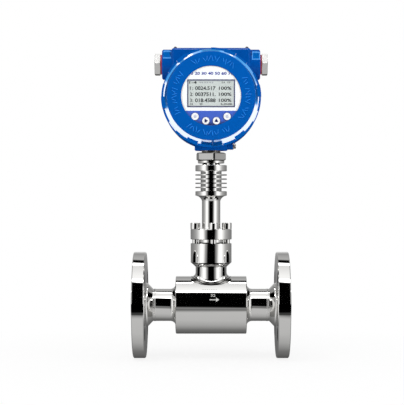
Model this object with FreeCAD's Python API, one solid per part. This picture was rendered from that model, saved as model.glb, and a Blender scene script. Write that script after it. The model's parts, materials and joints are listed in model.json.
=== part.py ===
import FreeCAD, Part
import math
import os

# Thermal mass flow meter: a flanged pipe body with a screwed-in probe, a finned
# neck and a two-compartment housing that shows a display behind a window.
# All sizes are millimetres. The origin is the centre of the inlet flange's bolt
# circle, in the rim's front face, 2 mm behind the raised face. +X runs with the
# flow, +Z up the stem and -Y towards the display.

Vector = FreeCAD.Vector
AXIS_X = Vector(1, 0, 0)
AXIS_Y = Vector(0, 1, 0)
AXIS_Z = Vector(0, 0, 1)

# Angle of the display's side in the XY plane, in degrees
FRONT_SIDE = -90.0
# How far a cutting shape runs past the face that it opens
PAST = 1.0
# How near a point must be to count as lying on an edge
NEAR = 0.05
# Wall left under a blind hole, and the room past a screw's tip
BLIND_WALL = 1.0
TIP_ROOM = 1.0

# Pipe line and weld-neck flanges
FACE_TO_FACE = 208.0
BORE_RADIUS = 18.6
PIPE_RADIUS = 21.2
FLANGE_RADIUS = 70.0
FLANGE_RIM = 16.0
FLANGE_CHAMFER = 1.0
RAISED_FACE_RADIUS = 39.0
RAISED_FACE_HEIGHT = 2.0
FLANGE_HOLES = 4
FLANGE_HOLE_CIRCLE = 50.0
FLANGE_HOLE_RADIUS = 9.0
HUB_RADIUS = 28.0
HUB_LENGTH = 9.5
HUB_FILLET = 3.0
WELD_LAND = 2.5

# Meter body and the branch that takes the probe
BODY_RADIUS = 38.0
BODY_LENGTH = 93.0
BODY_CHAMFER = 0.8
BODY_END_FILLET = 7.5
NECK_RADIUS = 20.5
NECK_HEIGHT = 50.5
SADDLE_FILLET = 5.0
CUP_RADIUS = 27.0
CUP_CONE = 5.9
CUP_HEIGHT = 25.3
CUP_CHAMFER = 0.7

# Probe flange, its plug, seals and screws
FLANGE_GAP = 4.9
GASKET_THICKNESS = 1.0
SEAT_RADIUS = 16.25
RING_RADIUS = 27.25
RING_HEIGHT = 13.9
RING_CHAMFER = 0.8
PLUG_RADIUS = 15.0
PLUG_CLEARANCE = 0.1
PLUG_END_GAP = 2.4
PLUG_FLOOR = 9.0
PROBE_SEAL_SECTION = 1.1
PROBE_SEAL_DROP = 9.0
SCREWS = 4
SCREW_CIRCLE = 21.0
SCREW_TURN = 8.3
SCREW_RADIUS = 4.0
SCREW_HOLE_CLEARANCE = 0.5
SCREW_LENGTH = 35.0
SCREW_HEAD_RADIUS = 6.5
SCREW_HEAD_HEIGHT = 8.0
SCREW_CHAMFER = 0.6
SCREW_KEY_FLATS = 6.0
SCREW_KEY_DEPTH = 4.0
SCREW_KEY_TURN = 15.0
SCREW_END_ROOM = 3.5

# Sensor tubes that stand in the flow
SENSOR_SPACING = 10.0
SENSOR_RADIUS = 3.0
SENSOR_WALL = 0.4
SENSOR_HEAD_RADIUS = 4.2
SENSOR_HEAD_HEIGHT = 2.0
SENSOR_TIP_DEPTH = 6.0
ELEMENT_CLEARANCE = 0.1
ELEMENT_LENGTH = 22.0

# Stem tube
TUBE_RADIUS = 12.15
TUBE_BORE = 9.5
TUBE_LENGTH = 36.8
TUBE_SOCKET = 3.0
WELD_FILLET = 2.6

# Finned neck
FLARE_HEIGHT = 7.1
FLARE_MIDDLE_SPREAD = 0.3
FLARE_MIDDLE_HEIGHT = 0.62
FIN_RADIUS = 20.85
FIN_COUNT = 4
FIN_THICKNESS = 1.5
FIN_PITCH = 5.5
FIN_END_GAP = 5.0
FIN_CORE_RADIUS = 13.9
LOWER_DISC = 5.8
UPPER_DISC = 7.9
DISC_CHAMFER = 0.5
NECK_BORE = 7.0

# Threaded nipple and lock nut under the housing
NIPPLE_SPIGOT_RADIUS = 9.0
NIPPLE_SPIGOT = 14.0
NIPPLE_NECK_RADIUS = 11.5
NIPPLE_NECK = 2.4
COLLAR_RADIUS = 17.5
COLLAR_HEIGHT = 3.7
COLLAR_CHAMFER = 0.6
THREAD_RADIUS = 12.0
THREAD_GAP = 2.5
NIPPLE_BORE = 6.0
NUT_FLATS = 36.0
NUT_HEIGHT = 10.5
NUT_CHAMFER_DROP = 1.6
NUT_TURN = 9.5
HEXAGON_FACE_INSET = 0.4

# Window in the front cover; the cover and the case are sized outwards from it
WINDOW_RADIUS = 38.2
WINDOW_LIP = 5.0
WINDOW_EDGE = 0.8
GLASS_LAP = 5.8
GLASS_THICKNESS = 8.0
GLASS_CHAMFER = 0.5
GLASS_CLEARANCE = 0.2
GLASS_SEAL = 1.0
GLASS_SEAL_INSET = 1.0
RETAINER_HEIGHT = 3.5
RETAINER_WIDTH = 4.7
RETAINER_NOTCH = 3.0

# Screwed covers, front and rear
COVER_BORE_STEP = 6.0
SKIRT_WALL = 4.8
SKIRT_END_GAP = 0.5
THREAD_PLAY = 0.2
COVER_OVERHANG = 2.5
COVER_FLANGE = 5.0
COVER_FLANGE_STEP = 1.3
COVER_TAPER = 6.2
COVER_DEPTH = 38.0
COVER_CROWN = 1.5
COVER_EDGE = 1.8
REAR_COVER_DEPTH = 30.0
REAR_COVER_WALL = 6.0
LUGS = 6
LUG_TURN = 7.0
LUG_ANGLE = 14.0
LUG_REACH = 17.0
LUG_ROOT = 2.0
SHOULDER_ANGLE = 46.0
SHOULDER_REACH = 7.0
COVER_SEAL_SECTION = 1.2
COVER_SEAL_PLAY = 0.2

# Housing case, cast in one piece
CASE_WALL = 7.0
CASE_HALF_DEPTH = 28.0
CASE_EDGE = 1.5
REAR_POCKET_DEPTH = 15.0
PARTITION = 5.0
CONDUIT_MARGIN = 0.5
STEP_WALL = 4.0
BLOCK_INSET = 10.0
BLOCK_RISE = 4.3
BLOCK_BOTTOM = 10.0
BLOCK_HALF_DEPTH = 22.0
BLOCK_CORNER = 4.0
CONDUIT_COVERING = 0.3
CONDUIT_BOSS_RADIUS = 20.0
CONDUIT_OVERHANG = 2.6
CONDUIT_EDGE = 1.5
CONDUIT_BORE = 10.0
PAD_WIDTH = 8.6
PAD_HEIGHT = 10.6
PAD_INSET = 0.8
PAD_RISE = 12.4
PAD_FRONT = 17.8
PAD_CORNER = 1.2
NECK_BOSS_RADIUS = 21.75
NECK_BOSS_HEIGHT = 5.8
NECK_BOSS_EDGE = 1.0
NECK_BOSS_SKIN = 0.5
EARTH_BOSS_RADIUS = 4.75
EARTH_BOSS_RISE = 6.1
EARTH_BOSS_LENGTH = 7.05
POST_RADIUS = 4.5

# Conduit plugs with their washers
WASHER_RADIUS = 13.0
WASHER_THICKNESS = 2.2
PLUG_FLATS = 27.0
PLUG_HEAD = 7.6
PLUG_HEAD_EDGE = 0.9
PLUG_SHANK = 20.0
PLUG_TURN = 28.0

# Earth screws and the studs on top
EARTH_SCREW_RADIUS = 2.0
EARTH_SCREW_LENGTH = 8.0
EARTH_HEAD_RADIUS = 3.3
EARTH_HEAD_HEIGHT = 3.0
EARTH_HEAD_CHAMFER = 0.4
EARTH_SLOT = 0.9
EARTH_WASHER_RADIUS = 4.3
EARTH_WASHER = 1.0
STUD_INSET = 4.7
STUD_RADIUS = 2.6
STUD_HEIGHT = 3.6
STUD_SHOULDER = (0.8, 0.7)
STUD_CROWN = (0.4, 1.0)
STUD_SHANK_RADIUS = 1.5
STUD_SHANK = 6.0

# Display stack; depths are counted back from the panel's front face
HEAD_ROOM = 0.4
PANEL_CLEARANCE = 2.5
PANEL_THICKNESS = 1.6
LCD_SIDE_GAP = 9.0
LCD_HEIGHT_SHARE = 0.558
LCD_RISE = 4.2
LCD_BEZEL = 1.6
LCD_BEZEL_HEIGHT = 0.5
LCD_RECESS = 0.3
LCD_MARGIN = 3.0
LCD_MODULE_DEPTH = 6.0
BOARD_INSET = 0.5
BOARD_THICKNESS = 1.6
BOARD_GAP = 12.8

# Push keys and their switches
KEY_RADIUS = 4.9
KEY_PROUD = 1.6
KEY_CLEARANCE = 0.35
KEY_FLANGE = 1.0
KEY_FLANGE_THICKNESS = 0.8
KEY_STEM_RADIUS = 1.8
KEY_TRAVEL = 0.8
KEY_EDGE = 0.4
OUTER_KEY_INSET = 5.3
OUTER_KEY_ANGLE = 38.8
INNER_KEY_INSET = 6.3
INNER_KEY_ANGLE = 12.3
SWITCH_SIZE = 7.0
SWITCH_HEIGHT = 3.5
SWITCH_FLOOR = 0.8
STEM_ENTRY = 1.4

# Board fixings and parts
FIXING_INSET = 4.6
SPACER_RADIUS = 3.0
SMALL_SCREW_RADIUS = 1.5
SMALL_HEAD_RADIUS = 2.8
SMALL_HEAD_HEIGHT = 2.0
SMALL_HEAD_CROWN = 0.6
SMALL_SCREW_ENTRY = 6.0
STANDOFF_FLATS = 5.5
STUD_ENTRY = 6.0
STUD_ROOM = 0.5
HEADER_SIZE = (24.0, 5.0)
HEADER_RISE = 34.0
POWER_MODULE_SIZE = (30.0, 9.0, 22.0)
POWER_MODULE_PLACE = (-14.0, -16.0)
CHIP_SIZE = (14.0, 1.6, 14.0)
CHIP_PLACE = (14.0, -8.0)
COMPONENT_CHAMFER = 0.5

# Rear compartment
TERMINAL_COUNT = 6
TERMINAL_PITCH = 9.0
TERMINAL_DEPTH = 13.0
TERMINAL_HEIGHT = 18.0
TERMINAL_DROP = 30.0
TERMINAL_SCREW_RADIUS = 2.4
TERMINAL_CHAMFER = 1.5
TERMINAL_SCREW_DEPTH = 6.0
TERMINAL_SCREW_SUNK = 1.0
TERMINAL_SLOT = 0.8
TERMINAL_SLOT_DEPTH = 1.0
WIRE_ENTRY_RADIUS = 2.2
WIRE_ENTRY_DEPTH = 9.0
BUSH_RADIUS = 6.0
BUSH_FLANGE = 1.8
BUSH_FLANGE_RADIUS = 8.0
BUSH_DROP = 10.0
INNER_EARTH_OFFSET = 38.0
INNER_EARTH_DROP = 16.0

# Sensor cable inside the stem
CABLE_RADIUS = 2.5
CABLE_BEND = 12.0
CABLE_RISE = 14.0

# Stations along the pipe and up the stem, worked out from the sizes above
INLET_FACE = -RAISED_FACE_HEIGHT
OUTLET_FACE = INLET_FACE + FACE_TO_FACE
CENTRE_X = (INLET_FACE + OUTLET_FACE) / 2
FLANGE_LENGTH = RAISED_FACE_HEIGHT + FLANGE_RIM + HUB_LENGTH + WELD_LAND
CUP_TOP = NECK_HEIGHT + CUP_CONE + CUP_HEIGHT
RING_BOTTOM = CUP_TOP + FLANGE_GAP
RING_TOP = RING_BOTTOM + RING_HEIGHT
TUBE_TOP = RING_TOP + TUBE_LENGTH
FIN_BASE = TUBE_TOP + FLARE_HEIGHT + LOWER_DISC
FIN_ZONE = (FIN_COUNT - 1) * FIN_PITCH + 2 * FIN_END_GAP
FINNED_TOP = FIN_BASE + FIN_ZONE + UPPER_DISC
COLLAR_BOTTOM = FINNED_TOP + NIPPLE_NECK
COLLAR_TOP = COLLAR_BOTTOM + COLLAR_HEIGHT
HOUSING_BOTTOM = COLLAR_TOP + NUT_HEIGHT + THREAD_GAP
PLUG_BOTTOM = BORE_RADIUS + PLUG_END_GAP
SENSOR_SEAT = PLUG_BOTTOM + PLUG_FLOOR
UPPER_PARTITION_BACK = -CONDUIT_BORE - CONDUIT_MARGIN
UPPER_PARTITION_FRONT = UPPER_PARTITION_BACK - PARTITION
SKIRT_LENGTH = CASE_HALF_DEPTH + UPPER_PARTITION_FRONT - SKIRT_END_GAP

# Radii of the housing, worked outwards and inwards from the window
GLASS_RADIUS = WINDOW_RADIUS + GLASS_LAP
RETAINER_RADIUS = GLASS_RADIUS - RETAINER_WIDTH
COVER_BORE = GLASS_RADIUS + COVER_BORE_STEP
SKIRT_RADIUS = COVER_BORE + SKIRT_WALL
CAVITY_RADIUS = SKIRT_RADIUS + THREAD_PLAY
CASE_RADIUS = CAVITY_RADIUS + CASE_WALL
COVER_FLANGE_RADIUS = CASE_RADIUS + COVER_OVERHANG
COVER_ROOT_RADIUS = COVER_FLANGE_RADIUS - COVER_FLANGE_STEP
COVER_FACE_RADIUS = COVER_ROOT_RADIUS - COVER_TAPER
PANEL_RADIUS = COVER_BORE - PANEL_CLEARANCE
BOARD_RADIUS = PANEL_RADIUS - BOARD_INSET
BOARD_FIXINGS = (BOARD_RADIUS - FIXING_INSET) / math.sqrt(2)
LCD_WIDTH = 2 * (WINDOW_RADIUS - LCD_SIDE_GAP)
LCD_HEIGHT = LCD_WIDTH * LCD_HEIGHT_SHARE

# Places of the housing's outside, from the case's axis
HOUSING_Z = HOUSING_BOTTOM + NECK_BOSS_HEIGHT + CASE_RADIUS
BLOCK_TOP = CASE_RADIUS + BLOCK_RISE
BLOCK_HALF_WIDTH = CASE_RADIUS - BLOCK_INSET
CONDUIT_RISE = BLOCK_TOP - CONDUIT_BOSS_RADIUS - CONDUIT_COVERING
CONDUIT_REACH = CASE_RADIUS + CONDUIT_OVERHANG
EARTH_BOSS_REACH = NECK_BOSS_RADIUS + EARTH_BOSS_LENGTH
STUD_OFFSET = BLOCK_HALF_WIDTH - STUD_INSET

# Depth stations of the housing, negative towards the display
FRONT_FACE = -CASE_HALF_DEPTH
COVER_FACE = FRONT_FACE - COVER_DEPTH
WINDOW_FACE = COVER_FACE - COVER_CROWN
GLASS_SEAT = WINDOW_FACE + WINDOW_LIP
GLASS_FRONT = GLASS_SEAT + GLASS_SEAL
GLASS_BACK = GLASS_FRONT + GLASS_THICKNESS
RETAINER_BACK = GLASS_BACK + RETAINER_HEIGHT
PANEL_FRONT = RETAINER_BACK + SMALL_HEAD_HEIGHT + HEAD_ROOM
PANEL_BACK = PANEL_FRONT + PANEL_THICKNESS
DISPLAY_BOARD_FRONT = PANEL_BACK + LCD_MODULE_DEPTH
DISPLAY_BOARD_BACK = DISPLAY_BOARD_FRONT + BOARD_THICKNESS
MAIN_BOARD_FRONT = DISPLAY_BOARD_BACK + BOARD_GAP
MAIN_BOARD_BACK = MAIN_BOARD_FRONT + BOARD_THICKNESS
LOWER_PARTITION_BACK = CASE_HALF_DEPTH - REAR_POCKET_DEPTH
LOWER_PARTITION_FRONT = LOWER_PARTITION_BACK - PARTITION


def key_place(inset, angle):
    """Across and up from the housing's axis: on a circle, at an angle from straight down."""
    radius = WINDOW_RADIUS - inset
    turn = math.radians(angle)
    return (radius * math.sin(turn), -radius * math.cos(turn))


KEYS = {
    "menu_key": key_place(OUTER_KEY_INSET, -OUTER_KEY_ANGLE),
    "shift_key": key_place(INNER_KEY_INSET, -INNER_KEY_ANGLE),
    "raise_key": key_place(INNER_KEY_INSET, INNER_KEY_ANGLE),
    "enter_key": key_place(OUTER_KEY_INSET, OUTER_KEY_ANGLE),
}


# Shape helpers

def placed(shape, axis, at):
    """Turn a shape built along Z so that it runs along the axis, then move it."""
    result = shape.copy()
    turn = FreeCAD.Rotation(AXIS_Z, axis)
    result.Placement = FreeCAD.Placement(at, turn).multiply(result.Placement)
    return result


def profile_point(pair):
    return Vector(pair[0], 0, pair[1])


def closed_wire(points):
    """Join points with lines; a nested pair (middle, end) is an arc through both."""
    edges = []
    first = profile_point(points[0])
    here = first
    for step in points[1:]:
        if isinstance(step[0], tuple):
            end = profile_point(step[1])
            edges.append(Part.Arc(here, profile_point(step[0]), end).toShape())
        else:
            end = profile_point(step)
            edges.append(Part.LineSegment(here, end).toShape())
        here = end
    edges.append(Part.LineSegment(here, first).toShape())
    return Part.Wire(edges)


def turned(points, axis=AXIS_Z, at=Vector(0, 0, 0)):
    """Revolve a profile of (radius, station) points about the axis."""
    face = Part.Face(closed_wire(points))
    return placed(face.revolve(Vector(0, 0, 0), AXIS_Z, 360), axis, at)


def rod(radius, low, high, axis=AXIS_Z, at=Vector(0, 0, 0)):
    """A plain cylinder from one station to another along the axis."""
    base = at + axis * low
    return Part.makeCylinder(radius, high - low, base, axis)


def tube(outer, inner, low, high, axis=AXIS_Z, at=Vector(0, 0, 0)):
    """A plain ring between two stations along the axis."""
    return turned([(inner, low), (outer, low), (outer, high), (inner, high)], axis, at)


def seal_ring(centre_radius, section, station, axis, at):
    """A round-section ring lying at one station of the axis."""
    return placed(Part.makeTorus(centre_radius, section, Vector(0, 0, station)), axis, at)


def hexagon(flats, low, high, turn_degrees=0.0):
    """A hexagonal bar along Z with one corner turned away from +X."""
    corner = flats / math.sqrt(3)
    points = []
    for index in range(7):
        angle = math.radians(turn_degrees + 60 * index)
        points.append(Vector(corner * math.cos(angle), corner * math.sin(angle), low))
    return Part.Face(Part.makePolygon(points)).extrude(Vector(0, 0, high - low))


def block(size_x, size_y, size_z, low):
    """A box with its lowest corner at the given point."""
    return Part.makeBox(size_x, size_y, size_z, low)


def around(count, radius, first_degrees):
    """Points spread evenly on a circle in the XY plane."""
    for index in range(count):
        angle = math.radians(first_degrees + 360.0 * index / count)
        yield Vector(radius * math.cos(angle), radius * math.sin(angle), 0)


def edges_where(shape, test):
    """The edges whose middle point passes the test."""
    found = []
    for edge in shape.Edges:
        first, last = edge.ParameterRange
        if test(edge.valueAt((first + last) / 2)):
            found.append(edge)
    return found


def joined(first, *others):
    """Fuse shapes into one solid with clean faces."""
    return first.fuse(list(others)).removeSplitter()


def fillet_arc(centre, radius, from_degrees, to_degrees):
    """The (middle, end) pair of an arc in the profile plane."""
    middle = math.radians((from_degrees + to_degrees) / 2)
    end = math.radians(to_degrees)
    return (
        (centre[0] + radius * math.cos(middle), centre[1] + radius * math.sin(middle)),
        (centre[0] + radius * math.cos(end), centre[1] + radius * math.sin(end)),
    )


STEM = Vector(CENTRE_X, 0, 0)
HOUSING = Vector(CENTRE_X, 0, HOUSING_Z)


# Pipe line

def weld_neck_flange():
    """Flange with its raised face at station 0, rim, tapering hub and weld land."""
    rim_back = RAISED_FACE_HEIGHT + FLANGE_RIM
    hub_end = rim_back + HUB_LENGTH
    profile = [
        (BORE_RADIUS, 0),
        (RAISED_FACE_RADIUS, 0),
        (RAISED_FACE_RADIUS, RAISED_FACE_HEIGHT),
        (FLANGE_RADIUS - FLANGE_CHAMFER, RAISED_FACE_HEIGHT),
        (FLANGE_RADIUS, RAISED_FACE_HEIGHT + FLANGE_CHAMFER),
        (FLANGE_RADIUS, rim_back - FLANGE_CHAMFER),
        (FLANGE_RADIUS - FLANGE_CHAMFER, rim_back),
        (HUB_RADIUS + HUB_FILLET, rim_back),
        fillet_arc((HUB_RADIUS + HUB_FILLET, rim_back + HUB_FILLET), HUB_FILLET, 270, 180),
        (PIPE_RADIUS, hub_end),
        (PIPE_RADIUS, hub_end + WELD_LAND),
        (BORE_RADIUS, hub_end + WELD_LAND),
    ]
    flange = turned(profile, AXIS_Z)
    for place in around(FLANGE_HOLES, FLANGE_HOLE_CIRCLE, 180.0 / FLANGE_HOLES):
        flange = flange.cut(rod(FLANGE_HOLE_RADIUS, -PAST, rim_back + PAST, at=place))
    return flange


def inlet_flange():
    return placed(weld_neck_flange(), AXIS_X, Vector(INLET_FACE, 0, 0))


def outlet_flange():
    return placed(weld_neck_flange(), AXIS_X * -1, Vector(OUTLET_FACE, 0, 0))


def meter_body():
    """Pipe stubs that swell into the thick body, with the branch and its cup."""
    low = INLET_FACE + FLANGE_LENGTH
    high = OUTLET_FACE - FLANGE_LENGTH
    body_low = CENTRE_X - BODY_LENGTH / 2
    body_high = CENTRE_X + BODY_LENGTH / 2
    fillet_radius = PIPE_RADIUS + BODY_END_FILLET
    pipe = turned([
        (BORE_RADIUS, low),
        (PIPE_RADIUS, low),
        (PIPE_RADIUS, body_low - BODY_END_FILLET),
        fillet_arc((fillet_radius, body_low - BODY_END_FILLET), BODY_END_FILLET, 180, 90),
        (BODY_RADIUS - BODY_CHAMFER, body_low),
        (BODY_RADIUS, body_low + BODY_CHAMFER),
        (BODY_RADIUS, body_high - BODY_CHAMFER),
        (BODY_RADIUS - BODY_CHAMFER, body_high),
        (fillet_radius, body_high),
        fillet_arc((fillet_radius, body_high + BODY_END_FILLET), BODY_END_FILLET, 270, 180),
        (PIPE_RADIUS, high),
        (BORE_RADIUS, high),
    ], AXIS_X)
    branch = turned([
        (0, PLUG_BOTTOM),
        (NECK_RADIUS, PLUG_BOTTOM),
        (NECK_RADIUS, NECK_HEIGHT),
        (CUP_RADIUS, NECK_HEIGHT + CUP_CONE),
        (CUP_RADIUS, CUP_TOP - CUP_CHAMFER),
        (CUP_RADIUS - CUP_CHAMFER, CUP_TOP),
        (0, CUP_TOP),
    ], at=STEM)
    body = joined(pipe, branch)
    saddle = edges_where(body, on_saddle)
    body = body.makeFillet(SADDLE_FILLET, saddle)
    body = body.cut(rod(PLUG_RADIUS + PLUG_CLEARANCE, 0, CUP_TOP + PAST, at=STEM))
    hole_bottom = RING_TOP - SCREW_LENGTH - SCREW_END_ROOM
    for place in around(SCREWS, SCREW_CIRCLE, SCREW_TURN + FRONT_SIDE):
        body = body.cut(rod(SCREW_RADIUS, hole_bottom, CUP_TOP + PAST, at=STEM + place))
    return body


def on_saddle(point):
    """True on the curve where the branch meets the body."""
    from_branch = math.hypot(point.x - CENTRE_X, point.y)
    from_pipe = math.hypot(point.y, point.z)
    return abs(from_branch - NECK_RADIUS) < NEAR and abs(from_pipe - BODY_RADIUS) < NEAR


# Probe

def probe_flange():
    """Clamping ring, seat and the hollow plug that fills the branch."""
    seat_bottom = CUP_TOP + GASKET_THICKNESS
    groove = seat_bottom - PROBE_SEAL_DROP
    groove_radius = PLUG_RADIUS + PLUG_CLEARANCE - 2 * PROBE_SEAL_SECTION
    flange = turned([
        (0, PLUG_BOTTOM),
        (PLUG_RADIUS, PLUG_BOTTOM),
        (PLUG_RADIUS, groove - PROBE_SEAL_SECTION),
        (groove_radius, groove - PROBE_SEAL_SECTION),
        (groove_radius, groove + PROBE_SEAL_SECTION),
        (PLUG_RADIUS, groove + PROBE_SEAL_SECTION),
        (PLUG_RADIUS, seat_bottom),
        (SEAT_RADIUS, seat_bottom),
        (SEAT_RADIUS, RING_BOTTOM),
        (RING_RADIUS - RING_CHAMFER, RING_BOTTOM),
        (RING_RADIUS, RING_BOTTOM + RING_CHAMFER),
        (RING_RADIUS, RING_TOP - RING_CHAMFER),
        (RING_RADIUS - RING_CHAMFER, RING_TOP),
        (TUBE_RADIUS, RING_TOP),
        (TUBE_RADIUS, RING_TOP - TUBE_SOCKET),
        (TUBE_BORE, RING_TOP - TUBE_SOCKET),
        (TUBE_BORE, SENSOR_SEAT),
        (0, SENSOR_SEAT),
    ], at=STEM)
    hole = SCREW_RADIUS + SCREW_HOLE_CLEARANCE
    for place in around(SCREWS, SCREW_CIRCLE, SCREW_TURN + FRONT_SIDE):
        flange = flange.cut(rod(hole, RING_BOTTOM - PAST, RING_TOP + PAST, at=STEM + place))
    for place in sensor_places():
        bore = rod(SENSOR_RADIUS, PLUG_BOTTOM - PAST, SENSOR_SEAT + PAST, at=place)
        flange = flange.cut(bore)
    return flange


def probe_gasket():
    outer = SEAT_RADIUS
    inner = PLUG_RADIUS + PLUG_CLEARANCE
    return tube(outer, inner, CUP_TOP, CUP_TOP + GASKET_THICKNESS, at=STEM)


def probe_seal():
    centre = PLUG_RADIUS + PLUG_CLEARANCE - PROBE_SEAL_SECTION
    station = CUP_TOP + GASKET_THICKNESS - PROBE_SEAL_DROP
    return seal_ring(centre, PROBE_SEAL_SECTION, station, AXIS_Z, STEM)


def socket_screw():
    """Socket head cap screw with its head standing on station 0."""
    edge = SCREW_CHAMFER
    screw = turned([
        (0, -SCREW_LENGTH),
        (SCREW_RADIUS - edge, -SCREW_LENGTH),
        (SCREW_RADIUS, -SCREW_LENGTH + edge),
        (SCREW_RADIUS, 0),
        (SCREW_HEAD_RADIUS, 0),
        (SCREW_HEAD_RADIUS, SCREW_HEAD_HEIGHT - edge),
        (SCREW_HEAD_RADIUS - edge, SCREW_HEAD_HEIGHT),
        (0, SCREW_HEAD_HEIGHT),
    ])
    floor = SCREW_HEAD_HEIGHT - SCREW_KEY_DEPTH
    top = SCREW_HEAD_HEIGHT + PAST
    return screw.cut(hexagon(SCREW_KEY_FLATS, floor, top, SCREW_KEY_TURN))


def flange_screws():
    screws = []
    for place in around(SCREWS, SCREW_CIRCLE, SCREW_TURN + FRONT_SIDE):
        screws.append(placed(socket_screw(), AXIS_Z, STEM + place + AXIS_Z * RING_TOP))
    return Part.makeCompound(screws)


def sensor_places():
    """Where the two sensor tubes stand, upstream first."""
    return [STEM - AXIS_X * (SENSOR_SPACING / 2), STEM + AXIS_X * (SENSOR_SPACING / 2)]


def sensor_tube(place):
    """Thin closed tube with a round tip and a head that sits on the plug's floor."""
    inner = SENSOR_RADIUS - SENSOR_WALL
    tip = -SENSOR_TIP_DEPTH + SENSOR_RADIUS
    top = SENSOR_SEAT + SENSOR_HEAD_HEIGHT
    return turned([
        (0, tip - SENSOR_RADIUS),
        fillet_arc((0, tip), SENSOR_RADIUS, 270, 360),
        (SENSOR_RADIUS, SENSOR_SEAT),
        (SENSOR_HEAD_RADIUS, SENSOR_SEAT),
        (SENSOR_HEAD_RADIUS, top),
        (inner, top),
        (inner, tip),
        (0, tip),
    ], at=place)


def sensor_element(place):
    """The wound element that fills the sensor tube's tip."""
    radius = SENSOR_RADIUS - SENSOR_WALL - ELEMENT_CLEARANCE
    tip = -SENSOR_TIP_DEPTH + SENSOR_RADIUS
    return rod(radius, tip, tip + ELEMENT_LENGTH, at=place)


def sensor_cable():
    """Cable up the stem to the housing, where it bends towards the main board."""
    low = SENSOR_SEAT + SENSOR_HEAD_HEIGHT
    level = HOUSING_Z - CAVITY_RADIUS + CABLE_RISE
    bend_start = STEM + AXIS_Z * (level - CABLE_BEND)
    bend_centre = bend_start - AXIS_Y * CABLE_BEND
    circle = Part.Wire(Part.makeCircle(CABLE_RADIUS, bend_start, AXIS_Z))
    bend = Part.Face(circle).revolve(bend_centre, AXIS_X, 90)
    upright = rod(CABLE_RADIUS, low, bend_start.z, at=STEM)
    level_run = rod(CABLE_RADIUS, MAIN_BOARD_BACK, -CABLE_BEND, AXIS_Y, STEM + AXIS_Z * level)
    return joined(upright, bend, level_run)


# Stem

def stem_tube():
    """Plain tube, seated in the probe flange and welded round its foot."""
    arc_centre = (TUBE_RADIUS + WELD_FILLET, RING_TOP + WELD_FILLET)
    return turned([
        (TUBE_BORE, RING_TOP - TUBE_SOCKET),
        (TUBE_RADIUS, RING_TOP - TUBE_SOCKET),
        (TUBE_RADIUS, RING_TOP),
        (TUBE_RADIUS + WELD_FILLET, RING_TOP),
        fillet_arc(arc_centre, WELD_FILLET, 270, 180),
        (TUBE_RADIUS, TUBE_TOP),
        (TUBE_BORE, TUBE_TOP),
    ], at=STEM)


def finned_neck():
    """Cooling neck turned from one bar: flare, disc, thin fins and upper disc."""
    flare_top = TUBE_TOP + FLARE_HEIGHT
    upper = FIN_BASE + FIN_ZONE
    spread = FIN_RADIUS - TUBE_RADIUS
    flare_middle = (TUBE_RADIUS + FLARE_MIDDLE_SPREAD * spread,
                    TUBE_TOP + FLARE_MIDDLE_HEIGHT * FLARE_HEIGHT)
    profile = [
        (NECK_BORE, TUBE_TOP),
        (TUBE_RADIUS, TUBE_TOP),
        (flare_middle, (FIN_RADIUS, flare_top)),
        (FIN_RADIUS, FIN_BASE - DISC_CHAMFER),
        (FIN_RADIUS - DISC_CHAMFER, FIN_BASE),
        (FIN_CORE_RADIUS, FIN_BASE),
    ]
    for index in range(FIN_COUNT):
        middle = FIN_BASE + FIN_END_GAP + index * FIN_PITCH
        profile.append((FIN_CORE_RADIUS, middle - FIN_THICKNESS / 2))
        profile.append((FIN_RADIUS, middle - FIN_THICKNESS / 2))
        profile.append((FIN_RADIUS, middle + FIN_THICKNESS / 2))
        profile.append((FIN_CORE_RADIUS, middle + FIN_THICKNESS / 2))
    profile += [
        (FIN_CORE_RADIUS, upper),
        (FIN_RADIUS - DISC_CHAMFER, upper),
        (FIN_RADIUS, upper + DISC_CHAMFER),
        (FIN_RADIUS, FINNED_TOP - DISC_CHAMFER),
        (FIN_RADIUS - DISC_CHAMFER, FINNED_TOP),
        (NIPPLE_SPIGOT_RADIUS, FINNED_TOP),
        (NIPPLE_SPIGOT_RADIUS, FINNED_TOP - NIPPLE_SPIGOT),
        (NECK_BORE, FINNED_TOP - NIPPLE_SPIGOT),
    ]
    return turned(profile, at=STEM)


def neck_nipple():
    """Screwed nipple with a collar; its upper thread carries the housing."""
    top = HOUSING_Z - CAVITY_RADIUS
    edge = COLLAR_CHAMFER
    return turned([
        (NIPPLE_BORE, FINNED_TOP - NIPPLE_SPIGOT),
        (NIPPLE_SPIGOT_RADIUS, FINNED_TOP - NIPPLE_SPIGOT),
        (NIPPLE_SPIGOT_RADIUS, FINNED_TOP),
        (NIPPLE_NECK_RADIUS, FINNED_TOP),
        (NIPPLE_NECK_RADIUS, COLLAR_BOTTOM),
        (COLLAR_RADIUS - edge, COLLAR_BOTTOM),
        (COLLAR_RADIUS, COLLAR_BOTTOM + edge),
        (COLLAR_RADIUS, COLLAR_TOP - edge),
        (COLLAR_RADIUS - edge, COLLAR_TOP),
        (THREAD_RADIUS, COLLAR_TOP),
        (THREAD_RADIUS, top - edge),
        (THREAD_RADIUS - edge, top),
        (NIPPLE_BORE, top),
    ], at=STEM)


def chamfered_hexagon(flats, height, drop, turn_degrees):
    """Hexagon bar on station 0 with its corners turned off at both ends."""
    corner = flats / math.sqrt(3)
    inner = flats / 2 - HEXAGON_FACE_INSET
    limit = turned([
        (0, 0),
        (inner, 0),
        (corner, drop),
        (corner, height - drop),
        (inner, height),
        (0, height),
    ])
    return hexagon(flats, 0, height, turn_degrees).common(limit)


def lock_nut():
    nut = chamfered_hexagon(NUT_FLATS, NUT_HEIGHT, NUT_CHAMFER_DROP, NUT_TURN + FRONT_SIDE)
    nut = nut.cut(rod(THREAD_RADIUS, -PAST, NUT_HEIGHT + PAST))
    return placed(nut, AXIS_Z, STEM + AXIS_Z * COLLAR_TOP)


# Housing

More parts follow.
